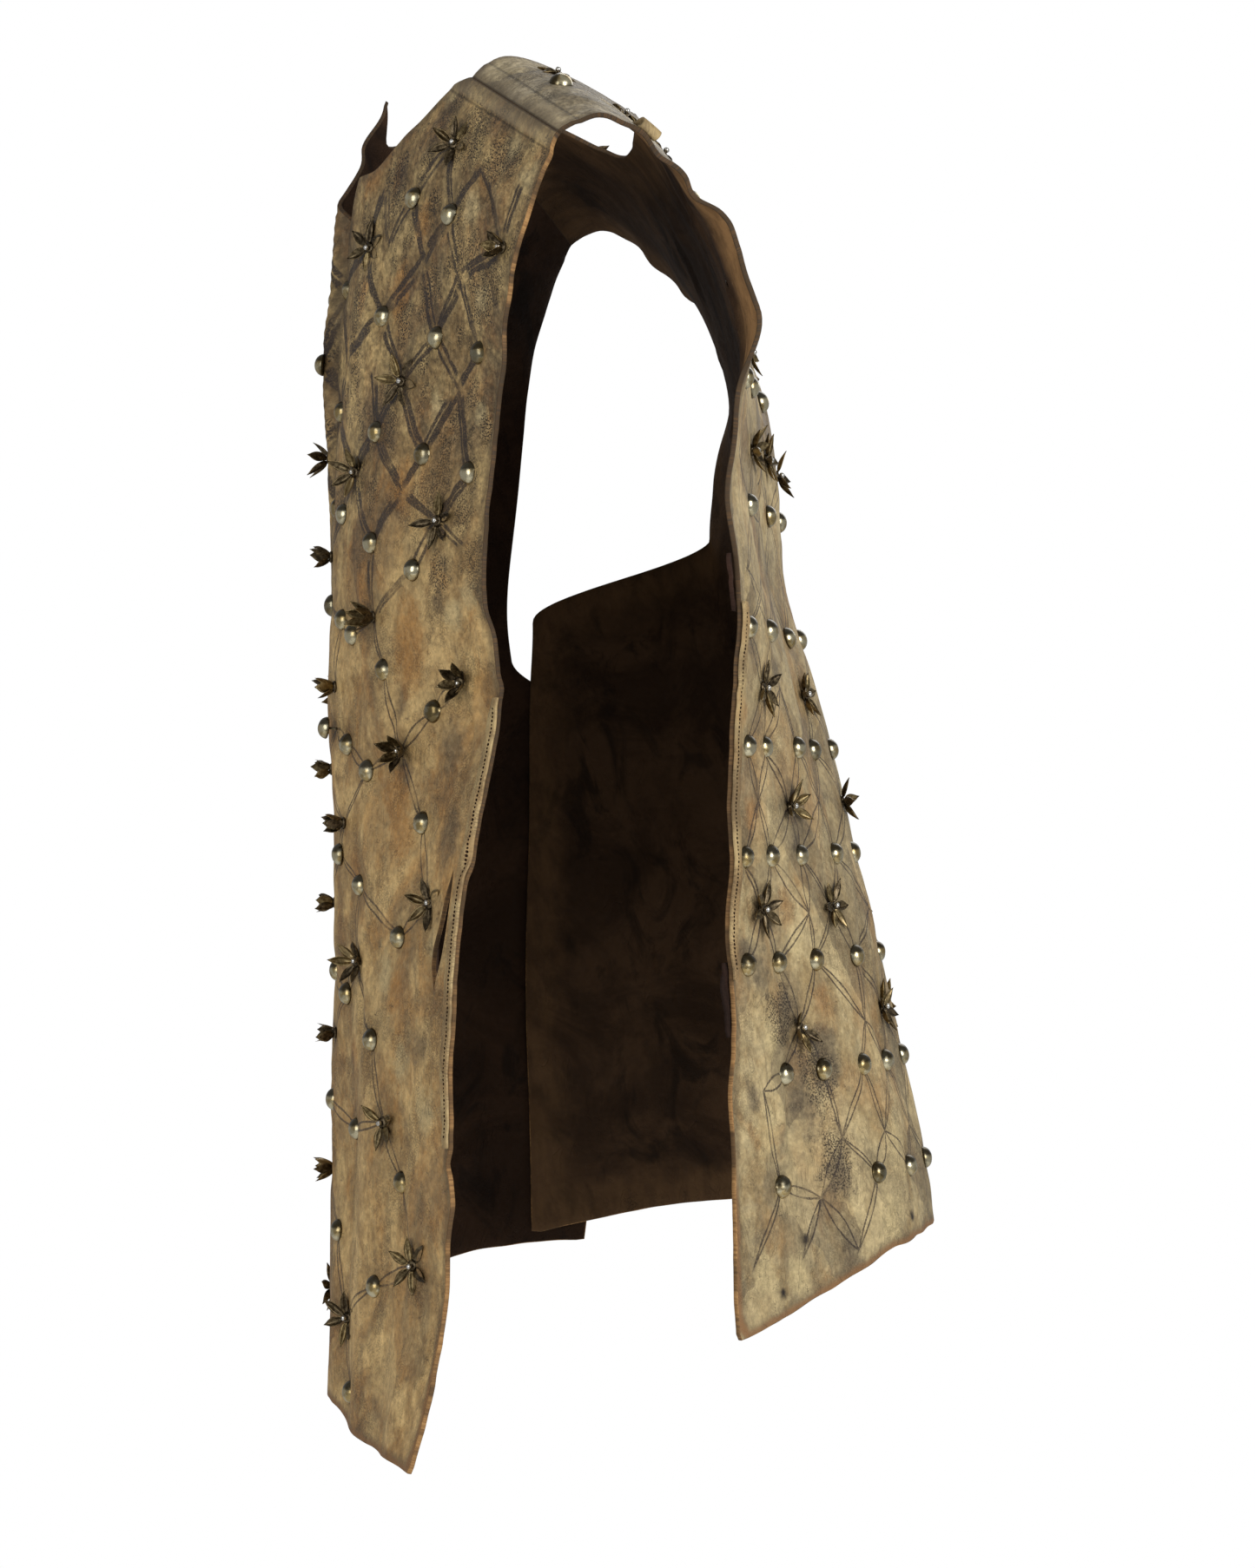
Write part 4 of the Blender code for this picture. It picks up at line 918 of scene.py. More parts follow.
STUD_PROFILE = (
    (6.55, -0.60), (7.00, -0.25), (7.12, 0.25), (6.98, 0.80), (6.62, 1.80), (5.95, 2.95), (4.95, 4.00),
    (3.65, 4.85), (2.20, 5.38), (0.95, 5.58), (0.0, 5.62),
)
BALL_PROFILE = (
    (0.55, -1.9), (0.62, -1.55), (1.15, -1.40), (1.62, -0.85), (1.80, 0.0), (1.60, 0.85), (1.10, 1.45),
    (0.50, 1.74), (0.0, 1.80),
)
HUB_PROFILE = ((3.6, 0.2), (3.9, 0.9), (3.4, 1.7), (2.3, 2.3), (1.3, 2.5), (0.7, 2.4), (0.0, 2.4))
STEM_PROFILE = ((0.9, -1.0), (0.8, 0.5), (0.8, 6.5), (0.0, 6.6))
LOOSE_STUD = (0.026, 0.387)
LOOSE_STUD_LIFT = 0.0065
LOOSE_STUD_REACH = 0.004
MILLIMETRE = 0.001


def seat(drape, across, down):
    """A place on the worn leather: its point, the outward direction and how across and down run there."""
    tiny = 0.002
    u = across + tiny * np.array([0, 1, -1, 0, 0])
    w = down + tiny * np.array([0, 0, 0, 1, -1])
    points = worn(drape, u, w, fine=False)
    place = worn(drape, u[:1], w[:1])[0]
    normal = outward(drape, u[:1], w[:1])[0]
    first = points[1] - points[2]
    first -= normal * (first @ normal)
    first /= np.linalg.norm(first)
    downwards = points[3] - points[4]
    downwards -= normal * (downwards @ normal)
    downwards /= np.linalg.norm(downwards)
    return place, normal, first, downwards


def turned_shape(profile, sides):
    """Points and faces of a shape turned about its axis; the last profile point is its peak."""
    rings = np.array(profile[:-1])
    angles = 2 * math.pi * np.arange(sides) / sides
    circle = np.stack([np.cos(angles), np.sin(angles)], 1)
    points = [np.column_stack([circle * r, np.full(sides, z)]) for r, z in rings]
    points = np.concatenate(points + [[[0, 0, profile[-1][1]]]]) * MILLIMETRE
    faces = []
    for k in range(len(rings) - 1):
        for j in range(sides):
            after = (j + 1) % sides
            faces.append((k * sides + j, k * sides + after, (k + 1) * sides + after, (k + 1) * sides + j))
    last = (len(rings) - 1) * sides
    for j in range(sides):
        faces.append((last + j, last + (j + 1) % sides, len(points) - 1))
    faces.append(tuple(range(sides - 1, -1, -1)))
    return points, faces


def move_to(points, place, x_axis, y_axis, z_axis):
    return place + points[:, :1] * x_axis + points[:, 1:2] * y_axis + points[:, 2:] * z_axis


def shifted(faces, start):
    return [tuple(i + start for i in face) for face in faces]


def stud_piece(drape, name, finish):
    """All the domed studs of a panel, each a little tilted, sunk and dented in its own way."""
    chance = np.random.default_rng(101 + int(drape.panel.number))
    shell = Shell()
    base, faces = turned_shape(STUD_PROFILE, STUD_SIDES)
    for across, down in STUD_PLACES[drape.panel.name]:
        place, normal, _, downwards = seat(drape, across, down)
        tilt = chance.uniform(-0.09, 0.09, 2)
        side = np.cross(normal, -downwards)
        axis = normal + tilt[0] * side + tilt[1] * downwards
        axis /= np.linalg.norm(axis)
        up = -downwards - axis * (-downwards @ axis)
        up /= np.linalg.norm(up)
        right = np.cross(up, axis)
        shape = base * chance.uniform(0.97, 1.03)
        dent = chance.uniform(-1, 1, 2) * STUD_RADIUS * 0.6
        reach = np.hypot(base[:, 0] - dent[0], base[:, 1] - dent[1])
        shape = shape.copy()
        shape[:, 2] -= 0.00045 * chance.random() * np.exp(-(reach / 0.0022) ** 2) * (base[:, 2] > 0.001)
        shape[:, 2] += chance.uniform(-0.0004, 0.0003)
        if math.hypot(across - LOOSE_STUD[0], down - LOOSE_STUD[1]) < LOOSE_STUD_REACH:
            shape[:, 2] += LOOSE_STUD_LIFT
            stem, stem_faces = turned_shape(STEM_PROFILE, 10)
            stem_local = np.column_stack([stem[:, :2] * 0, stem[:, 2] * 0 + 0.99])
            start = shell.add_points(move_to(stem, place, right, up, axis), local=stem_local)
            shell.add_faces(shifted(stem_faces, start))
        tone = chance.random()
        local = np.column_stack(
            [base[:, 1] / STUD_RADIUS, base[:, 2] / STUD_HEIGHT, np.full(len(base), tone)]
        )
        start = shell.add_points(move_to(shape, place, right, up, axis), local=local)
        shell.add_faces(shifted(faces, start))
    return shell.piece(name, [finish])


PETAL_ROWS = 9
PETAL_COLUMNS = 7
PETAL_WALL = 0.00045
PETAL_ROOT = 0.0026
PETAL_HALF_WIDTH = 0.0026
PETAL_LOSS = 0.16


def petal(reach, tip_lift, twist, cup, broad):
    """One pointed boat-shaped petal along +X: its points, faces and place on the petal."""
    s, v = np.meshgrid(np.linspace(0, 1, PETAL_ROWS), np.linspace(-1, 1, PETAL_COLUMNS), indexing="ij")
    swelling = 0.20 + 0.95 * np.sin(math.pi * np.clip(s, 0, 1) ** 0.80) ** 0.85
    half = PETAL_HALF_WIDTH * broad * swelling * (1 - 0.88 * s**6)
    x = PETAL_ROOT + (reach - PETAL_ROOT) * s
    lift = 0.0020 + (tip_lift - 0.0020) * s**1.25 - 0.0012 * np.sin(math.pi * s)
    y = v * half
    z = lift + cup * v**2 * half - 0.0003 * np.exp(-(v / 0.22) ** 2) * np.sin(math.pi * s)
    turn = twist * s
    y, z = y * np.cos(turn) - (z - lift) * np.sin(turn), lift + y * np.sin(turn) + (z - lift) * np.cos(turn)
    top = np.stack([x, y, z], -1).reshape(-1, 3)
    low = top - np.array([0, 0, PETAL_WALL])
    count = len(top)
    faces = []
    for i in range(PETAL_ROWS - 1):
        for j in range(PETAL_COLUMNS - 1):
            a = i * PETAL_COLUMNS + j
            quad = (a, a + PETAL_COLUMNS, a + PETAL_COLUMNS + 1, a + 1)
            faces.append(quad)
            faces.append(tuple(count + k for k in quad[::-1]))
    border = [i * PETAL_COLUMNS for i in range(PETAL_ROWS)]
    border += [(PETAL_ROWS - 1) * PETAL_COLUMNS + j for j in range(1, PETAL_COLUMNS)]
    border += [i * PETAL_COLUMNS + PETAL_COLUMNS - 1 for i in range(PETAL_ROWS - 2, -1, -1)]
    border += list(range(PETAL_COLUMNS - 2, 0, -1))
    for a, b in zip(border, border[1:] + border[:1]):
        faces.append((a, a + count, b + count, b))
    local = np.stack([s.ravel(), v.ravel()], 1)
    return np.concatenate([top, low]), faces, np.concatenate([local, local])


def lean_to_side(drape, item, normal):
    """On the front's near half the flowers lean a little towards the open side."""
    if drape.panel.out > 0 or item.spread < 0.6:
        return normal
    leaned = normal + np.array([FLOWER_LEAN * float(ramp(item.across, FLOWER_LEAN_FROM)), 0.0, 0.0])
    return leaned / np.linalg.norm(leaned)


def flower_piece(drape, name, petal_finish, pin_finish):
    """All the metal flowers of a panel: six petals round a ball-headed pin, some of them half closed."""
    chance = np.random.default_rng(201 + int(drape.panel.number))
    shell = Shell()
    hub, hub_faces = turned_shape(HUB_PROFILE, 12)
    ball, ball_faces = turned_shape(BALL_PROFILE, 14)
    for k, item in enumerate(FLOWER_PLACES[drape.panel.name]):
        place, normal, first, _ = seat(drape, item.across, item.down)
        hide_normal = normal
        normal = lean_to_side(drape, item, normal)
        first = first - normal * (first @ normal)
        first /= np.linalg.norm(first)
        second = np.cross(normal, first)
        tone = chance.random()
        bright = chance.integers(0, PETALS)
        start = shell.add_points(move_to(hub, place, first, second, normal), local=(0.2, 0.0, 0.1 * tone))
        shell.add_faces(shifted(hub_faces, start))
        for j in range(PETALS):
            angle = 0.7 * k + 2 * math.pi * j / PETALS + chance.uniform(-0.13, 0.13)
            along = math.cos(angle) * first + math.sin(angle) * second
            beside = np.cross(normal, along)
            opening = max(FLAT_PETAL + CLOSING * (1.0 - item.spread), 4.0)
            rise = math.radians(opening) * chance.uniform(0.8, 1.15)
            length = PETAL_REACH * item.size * chance.uniform(0.88, 1.03)
            reach, tip_lift = length * math.cos(rise), length * math.sin(rise)
            tip_lift += max(0.0, -reach * float(along @ hide_normal)) / float(normal @ hide_normal)
            if item.spread < 1.0 and chance.random() < PETAL_LOSS:
                continue
            broad = 1.0 + 0.9 * max(0.75 - item.spread, 0.0)
            shape, faces, local = petal(
                reach, tip_lift, chance.uniform(-0.3, 0.3), chance.uniform(0.55, 1.05), broad,
            )
            # one petal on some flowers gets a high tone, a painted highlight in the petal finish
            petal_tone = 0.9 if j == bright and tone > 0.55 else 0.45 * chance.random()
            local = np.column_stack([local, np.full(len(local), petal_tone)])
            start = shell.add_points(move_to(shape, place, along, beside, normal), local=local)
            shell.add_faces(shifted(faces, start))
        tilt = chance.uniform(-0.15, 0.15, 2)
        axis = normal + tilt[0] * first + tilt[1] * second
        axis /= np.linalg.norm(axis)
        side = np.cross(second, axis)
        side /= np.linalg.norm(side)
        start = shell.add_points(
            move_to(ball, place + axis * 0.0042, side, np.cross(axis, side), axis), local=(0.0, 0.0, tone))
        shell.add_faces(shifted(ball_faces, start), 1)
    return shell.piece(name, [petal_finish, pin_finish])


# Inked loops between studs and flowers

LINK_SHORTEST = 0.018
LINK_LONGEST = 0.078
LINE_HALF = {"front_panel": (0.65, 1.10), "back_panel": (0.60, 0.88)}
LATTICE_WIDTH = 0.050
LATTICE_HEIGHT = 0.068
LATTICE_TOP = 0.008
LATTICE_DOWN_TO = {"front_panel": 0.30, "back_panel": 0.84}
KNOT_CLEAR = 0.027
KNOT_MARGIN = 0.011
BRUSHED_FROM = 0.30
BRUSHING_FADES = (0.18, 0.40)
LinkTable = namedtuple("LinkTable", "start end gap width")


def lattice_knots(name, loop):
    """Crossings of a plain diamond lattice, kept where no stud or flower already holds the lines."""
    rows = np.arange(LATTICE_TOP, LATTICE_DOWN_TO[name], LATTICE_HEIGHT / 2)
    columns = np.arange(-8, 9) * LATTICE_WIDTH
    knots = np.array([
        (across + (number % 2) * LATTICE_WIDTH / 2, down)
        for number, down in enumerate(rows) for across in columns
    ])
    held = np.array(FEATURE_PLACES[name])
    clear = np.linalg.norm(knots[:, None] - held[None], axis=2).min(1) > KNOT_CLEAR
    knots = knots[clear & inside_polygon(knots, loop)]
    return knots[edge_distance(knots, loop) > KNOT_MARGIN]


def brush_strokes(start, end, bold, chance):
    """Uneven brush strokes side by side along one line: their starts, ends and half widths."""
    run = end - start
    beside = np.array([-run[1], run[0]]) / np.linalg.norm(run) * MILLIMETRE
    strokes = []
    for place in (-1.0, 1.0, 0.0)[:int(chance.integers(2, 4))]:
        lean = beside * (place * chance.uniform(1.6, 3.4) + chance.uniform(-0.6, 0.6))
        first = start + run * chance.uniform(0.04, 0.30) + lean
        last = end - run * chance.uniform(-0.02, 0.26) + lean * chance.uniform(0.2, 1.3)
        width = chance.uniform(0.8, 1.3) if place == 0.0 else chance.uniform(1.0, 1.9)
        strokes.append((first, last, width * (0.6 + 0.4 * bold)))
    return strokes


def ink_links(name, loop):
    """Lines from each stud, flower or knot to its nearest ones below: brushed high up, looped lower."""
    points = np.vstack([FEATURE_PLACES[name], lattice_knots(name, loop)])
    pairs = {}
    for i, point in enumerate(points):
        step = points - point
        away = np.linalg.norm(step, axis=1)
        fits = (step[:, 1] > 0.006) & (away > LINK_SHORTEST) & (away < LINK_LONGEST)
        for side in (-1, 1):
            ok = np.flatnonzero(fits & (side * step[:, 0] > 0.002))
            for j in ok[np.argsort(away[ok])][:1]:
                pairs.setdefault((int(j), side), []).append((away[j], i))
    pairs = sorted((min(starts)[1], j) for (j, _), starts in pairs.items())
    chance = np.random.default_rng(301 + len(name))
    thin, thick = LINE_HALF[name]
    rows = []
    for i, j in pairs:
        start, end = points[i], points[j]
        bold = 1 - float(ramp((start[1] + end[1]) / 2, BRUSHING_FADES))
        if name == "front_panel" and bold > BRUSHED_FROM:
            rows += [
                (first, last, 0.0, width) for first, last, width in brush_strokes(start, end, bold, chance)
            ]
        else:
            width = thin + (thick - thin) * bold * chance.uniform(0.7, 1.2)
            rows.append((start, end, 1.2 + 3.0 * chance.random(), width))
    return LinkTable(*(np.array(column) for column in zip(*rows)))


def ink_values(links):
    """Gives each corner of the grain face its place by the two nearest inked lines, in line widths."""
    run = links.end - links.start
    length = np.linalg.norm(run, axis=1)
    unit = run / length[:, None]

    def place_beside(points, chosen):
        step = points - links.start[chosen]
        along = (step * unit[chosen]).sum(-1) / length[chosen]
        beside = (step[..., 0] * unit[chosen, 1] - step[..., 1] * unit[chosen, 0]) / MILLIMETRE
        return along, beside / links.width[chosen]

    def values(flat, triangles):
        centres = flat[triangles].mean(1)
        best = np.full((len(centres), 2), np.inf)
        pick = np.zeros((len(centres), 2), int)
        for k in range(len(length)):
            along, beside = place_beside(centres, np.full(len(centres), k))
            over = np.maximum(np.abs(along - 0.5) - 0.5, 0) * length[k] / MILLIMETRE
            gap = links.gap[k] * np.sin(math.pi * np.clip(along, 0, 1))
            away = np.abs(np.abs(beside * links.width[k]) - gap) + over - links.width[k]
            closer = away < best[:, 0]
            second = ~closer & (away < best[:, 1])
            best[closer, 1], pick[closer, 1] = best[closer, 0], pick[closer, 0]
            best[closer, 0], pick[closer, 0] = away[closer], k
            best[second, 1], pick[second, 1] = away[second], k
        corners = flat[triangles]
        made = {}
        for layer, label in enumerate(("ink_a", "ink_b")):
            chosen = np.repeat(pick[:, layer:layer + 1], 3, axis=1)
            along, beside = place_beside(corners, chosen)
            gap = (links.gap / links.width)[chosen]
            made[label] = np.stack([along, beside, gap], -1).reshape(-1, 3)
        return made

    return values


STUD_SOOT_REACH = 0.013
FLOWER_SOOT_REACH = 0.019
EMPTY_HOLE_PIXELS = {"front_panel": [], "back_panel": [(1053, 1398), (935, 1428), (905, 1490)]}
HOLE_REACH = 0.0026
CLOUD_SIDES = ((1.0, 0.0), (-0.92, 0.017))


def place_shown_at(drape, x, y):
    """The place on a panel that shows at a pixel of the photo's frame, to the pitch of its own grid."""
    towards = np.array(CAMERA_PLACE) - drape.places
    seen_x = PHOTO_WIDTH / 2 - towards[..., 1] * FOCAL_PIXELS / towards[..., 0]
    seen_y = PHOTO_HEIGHT / 2 + towards[..., 2] * FOCAL_PIXELS / towards[..., 0]
    away = np.hypot(seen_x - x, seen_y - y)
    away[(towards * drape.normals).sum(-1) < 0] = np.inf
    i, j = np.unravel_index(away.argmin(), away.shape)
    return drape.across[i], drape.down[j]


def cloud_shares(drape, flat):
    """How strong each kind of cloud is at each place; the wearer's right repeats them, a little moved."""
    shares = np.zeros((len(flat), len(CLOUD_KINDS)))
    for k, kind in enumerate(CLOUD_KINDS):
        for cloud in CLOUDS[drape.panel.name][kind]:
            middle = place_shown_at(drape, cloud.x, cloud.y)
            for side, lower in CLOUD_SIDES:
                across, down = flat[:, 0] - side * middle[0], flat[:, 1] - middle[1] - lower
                shares[:, k] += np.exp(-(across**2 + 0.6 * down**2) / (cloud.reach * MILLIMETRE) ** 2)
    return shares


def panel_marks(drape, loop):
    """For each place: soot round the metal and painted shadow along the neck slit, distance from the cut
    edge in cm, holes with painted shade in their middle, and tone clouds.
    """
    name = drape.panel.name
    coarse = loop[::5]

    def marks(flat):
        soot_and_slit_shadow = np.zeros(len(flat))
        for across, down in STUD_PLACES[name]:
            away = np.hypot(flat[:, 0] - across, flat[:, 1] - down + 0.004)
            soot_and_slit_shadow += 0.75 * np.exp(-(away / STUD_SOOT_REACH) ** 2)
        for item in FLOWER_PLACES[name]:
            away = np.hypot(flat[:, 0] - item.across, flat[:, 1] - item.down)
            soot_and_slit_shadow += 0.85 * np.exp(-(away / (FLOWER_SOOT_REACH * item.spread)) ** 2)
        if drape.panel.out < 0:
            # painted shadow: a dark line down both sides of the neck slit, where the wearer's left stands
            # proud of the right
            cut = ramp(flat[:, 1], (0.080, 0.120)) * (1 - ramp(flat[:, 1], (0.240, 0.320)))
            soot_and_slit_shadow += 0.8 * cut * np.exp(-(flat[:, 0] / 0.0016) ** 2)
        # where a stud is missing: a dark ring round it, and a dark middle that is painted shade standing in
        # for the hole through the leather
        holes = np.zeros(len(flat))
        for pixel in EMPTY_HOLE_PIXELS[name]:
            across, down = place_shown_at(drape, *pixel)
            away = np.hypot(flat[:, 0] - across, flat[:, 1] - down)
            holes += np.exp(-((away - HOLE_REACH) / 0.0012) ** 2) + (away < 0.0016)
        shares = cloud_shares(drape, flat)
        return {
            "marks": np.column_stack([soot_and_slit_shadow, edge_distance(flat, coarse) * 100, holes]),
            "tones": shares[:, :3],
            "spots": np.column_stack([shares[:, 3], 0 * soot_and_slit_shadow, 0 * soot_and_slit_shadow]),
        }

    return marks


# Strips, tie, scrap and loop at the side edge

def strip_outline(drape, top, bottom):
    """A lacing strip's cut: its outer edge runs past the hide's edge, and its ends taper in."""
    down = np.arange(top, bottom, 0.0012)
    edge = drape.half_width(down) + side_ragged(drape.panel, down)
    ends = ramp(down, (top, top + 0.012)) * (1 - ramp(down, (bottom - 0.020, bottom)))
    width = STRIP_WIDTH * (0.45 + 0.55 * ends) + 0.0005 * soft_noise(down, down * 0, 0.026, 81)
    outer = np.stack([edge + STRIP_OVERHANG, down], 1)
    inner = np.stack([edge - width, down], 1)[::-1]
    lines = [outer, np.array([outer[-1], inner[0]]), inner, np.array([inner[-1], outer[0]])]
    return np.concatenate([spaced(line, 0.0016)[:-1] for line in lines]), outer


def round_hole(middle, radius, sides=8):
    angles = 2 * math.pi * np.arange(sides) / sides
    return np.asarray(middle) + radius * np.stack([np.cos(angles), np.sin(angles)], 1)


def lacing_strip(drape, name, top, bottom, finishes):
    """The narrow folded strip along an open side edge, punched with a row of small holes."""
    loop, outer = strip_outline(drape, top, bottom)
    chance = np.random.default_rng(401 + int(drape.panel.number))
    holes = []
    row = spaced(outer, STRIP_HOLE_PITCH)[3:-3]
    for point in row:
        middle = point + (-0.0021 + chance.uniform(-0.00018, 0.00018), chance.uniform(-0.0002, 0.0002))
        holes.append(round_hole(middle, STRIP_HOLE * chance.uniform(0.8, 1.25)))

    def place(across, down, lift):
        edge = drape.half_width(down) + side_ragged(drape.panel, down) + STRIP_OVERHANG
        inward = edge - across
        rise = -0.0007 * np.exp(-(inward / 0.0009) ** 2)
        rise += 0.00035 * np.exp(-((inward - 0.0045) / 0.0011) ** 2)
        rise -= 0.0004 * np.exp(-((inward - 0.0062) / 0.0007) ** 2)
        rise += 0.00025 * soft_noise(across, down, 0.006, 91)
        return worn(drape, across, down, lift + LAYER_GAP + STRIP_THICKNESS + rise)

    # the hole walls take the fourth finish, the dark flesh side, as painted shade inside the punched holes
    shell, _ = leather_sheet(
        [loop] + holes, (0.0017, 0.0022), place, STRIP_THICKNESS - 0.0004, drape.panel.out < 0,
        drape.panel.number, rounding=0.00014, hole_finish=3,
    )
    return shell.piece(name, finishes)


def edge_scrap(drape, name, rows, gap, thickness, finishes, seed):
    """A torn scrap against the inner face at the side edge: rows of down, inner and outer distance."""
    rows = np.array(rows)
    down = np.linspace(rows[0, 0], rows[-1, 0], 60)
    edge = drape.half_width(down)
    ragged = 0.0009 * soft_noise(down, down * 0, 0.0045, seed)
    ragged += 0.0005 * soft_noise(down, down * 0, 0.0016, seed + 1)
    outer = np.stack([edge + np.interp(down, rows[:, 0], rows[:, 2]) + ragged, down], 1)
    inner = np.stack([edge + np.interp(down, rows[:, 0], rows[:, 1]), down], 1)[::-1]
    lines = [outer, np.array([outer[-1], inner[0]]), inner, np.array([inner[-1], outer[0]])]
    loop = np.concatenate([spaced(line, 0.0012)[:-1] for line in lines])

    def place(across, down, lift):
        past = np.maximum(across - drape.half_width(down), 0)
        rise = 0.0004 * soft_noise(across, down, 0.004, seed + 2) - 10 * past**2
        return worn(drape, across, down, lift - LEATHER - gap + rise)

    shell, _ = leather_sheet(
        [loop], (0.0014, 0.0016), place, thickness, drape.panel.out < 0, drape.panel.number,
        rounding=0.0003)
    return shell.piece(name, finishes)


LOOP_PATH = (
    (-14.8, 1.3), (-12.6, 1.7), (-10.4, 3.6), (-8.4, 5.8), (-6.2, 6.9), (-4.0, 6.7), (-2.6, 5.3),
    (-2.4, 3.4), (-3.6, 2.0), (-6.0, 1.6),
)
LOOP_TOP, LOOP_BOTTOM = 0.060, 0.076
LOOP_WALL = 0.0008


def shoulder_loop(drape, name, finish):
    """The small folded tab that stands out at the edge of the shoulder, a band bent back on itself."""
    path = curve_through([(x * MILLIMETRE, z * MILLIMETRE) for x, z in LOOP_PATH])
    path = spaced(path, 0.0012)
    run = np.gradient(path, axis=0)
    run /= np.linalg.norm(run, axis=1)[:, None]
    side = np.stack([-run[:, 1], run[:, 0]], 1)
    down = np.linspace(LOOP_TOP, LOOP_BOTTOM, 13)
    count, rows = len(path), len(down)
    shell = Shell()
    for face in (1, -1):
        line = path + side * LOOP_WALL * face
        for k, d in enumerate(down):
            skew = 0.0010 * math.sin(2.2 * k / rows)
            edge = drape.half_width(np.array([d]))[0]
            across = edge + line[:, 0] + skew
            points = worn(drape, across, np.full(count, d), line[:, 1], fine=False)
            flat = np.column_stack([across + 0.3, np.full(count, d) + path[:, 1], np.full(count, 5.0)])
            shell.add_points(points, flat=flat, marks=(0.0, 3.0, 0.0))

    def at(face, k, i):
        return (face * rows + k) * count + i

    faces = []
    for k in range(rows - 1):
        for i in range(count - 1):
            faces.append((at(0, k, i), at(0, k, i + 1), at(0, k + 1, i + 1), at(0, k + 1, i)))
            faces.append((at(1, k, i), at(1, k + 1, i), at(1, k + 1, i + 1), at(1, k, i + 1)))
    for k in range(rows - 1):
        faces.append((at(0, k, 0), at(0, k + 1, 0), at(1, k + 1, 0), at(1, k, 0)))
        faces.append(
            (at(0, k, count - 1), at(1, k, count - 1), at(1, k + 1, count - 1), at(0, k + 1, count - 1))
        )
    for i in range(count - 1):
        faces.append((at(0, 0, i), at(1, 0, i), at(1, 0, i + 1), at(0, 0, i + 1)))
        faces.append(
            (at(0, rows - 1, i), at(0, rows - 1, i + 1), at(1, rows - 1, i + 1), at(1, rows - 1, i))
        )
    shell.add_faces(faces)
    return shell.piece(name, [finish])


# Finishes

def tint(red, green, blue):
    """A colour given in 0 to 255 screen steps, as the linear values that shaders take."""
    steps = np.array([red, green, blue]) / 255
    linear = np.where(steps <= 0.04045, steps / 12.92, ((steps + 0.055) / 1.055) ** 2.4)
    return (*[float(v) for v in linear], 1.0)


class Nodes:
    """Short ways to add and link the nodes of a material or a group."""

    def __init__(self, tree):
        self.tree = tree

    def feed(self, socket, value):
        if isinstance(value, bpy.types.NodeSocket):
            self.tree.links.new(value, socket)
        else:
            socket.default_value = value

    def add(self, kind, sockets=None, **settings):
        node = self.tree.nodes.new("ShaderNode" + kind)
        for key, value in settings.items():
            setattr(node, key, value)
        for key, value in (sockets or {}).items():
            self.feed(node.inputs[key], value)
        return node

    def math(self, operation, a, b=0.0, c=0.0, clamp=False):
        return self.add("Math", {0: a, 1: b, 2: c}, operation=operation, use_clamp=clamp).outputs[0]

    def mix(self, share, a, b, blend="MIX"):
        node = self.add("Mix", data_type="RGBA", blend_type=blend)
        for index, value in ((0, share), (6, a), (7, b)):
            self.feed(node.inputs[index], value)
        return node.outputs[2]

    def rise(self, value, low, high, start=0.0, end=1.0):
        return self.add(
            "MapRange", {0: value, 1: low, 2: high, 3: start, 4: end},
            interpolation_type="SMOOTHSTEP").outputs[0]

    def stretch(self, place, x, y, z):
        return self.add("VectorMath", {0: place, 1: (x, y, z)}, operation="MULTIPLY").outputs[0]

    def noise(self, place, scale, detail=3.0, roughness=0.5, distortion=0.0):
        node = self.add("TexNoise", {
            "Vector": place, "Scale": scale, "Detail": detail, "Roughness": roughness,
            "Distortion": distortion})
        return node.outputs[0]

    def value(self, name):
        return self.add("Attribute", attribute_name=name, attribute_type="GEOMETRY").outputs["Vector"]

    def split(self, vector):
        return self.add("SeparateXYZ", {0: vector}).outputs

    def use(self, group, sockets):
        node = self.add("Group", node_tree=group)
        for key, value in sockets.items():
            self.feed(node.inputs[key], value)
        return node.outputs


def new_group(name, takes, gives):
    """A shader group with named inputs (label, kind, value) and outputs (label, kind)."""
    tree = bpy.data.node_groups.new(name, "ShaderNodeTree")
    for label, kind, value in takes:
        socket = tree.interface.new_socket(label, in_out="INPUT", socket_type="NodeSocket" + kind)
        if value is not None:
            socket.default_value = value
    for label, kind in gives:
        tree.interface.new_socket(label, in_out="OUTPUT", socket_type="NodeSocket" + kind)
    enter = tree.nodes.new("NodeGroupInput")
    leave = tree.nodes.new("NodeGroupOutput")
    return tree, Nodes(tree), enter.outputs, leave.inputs


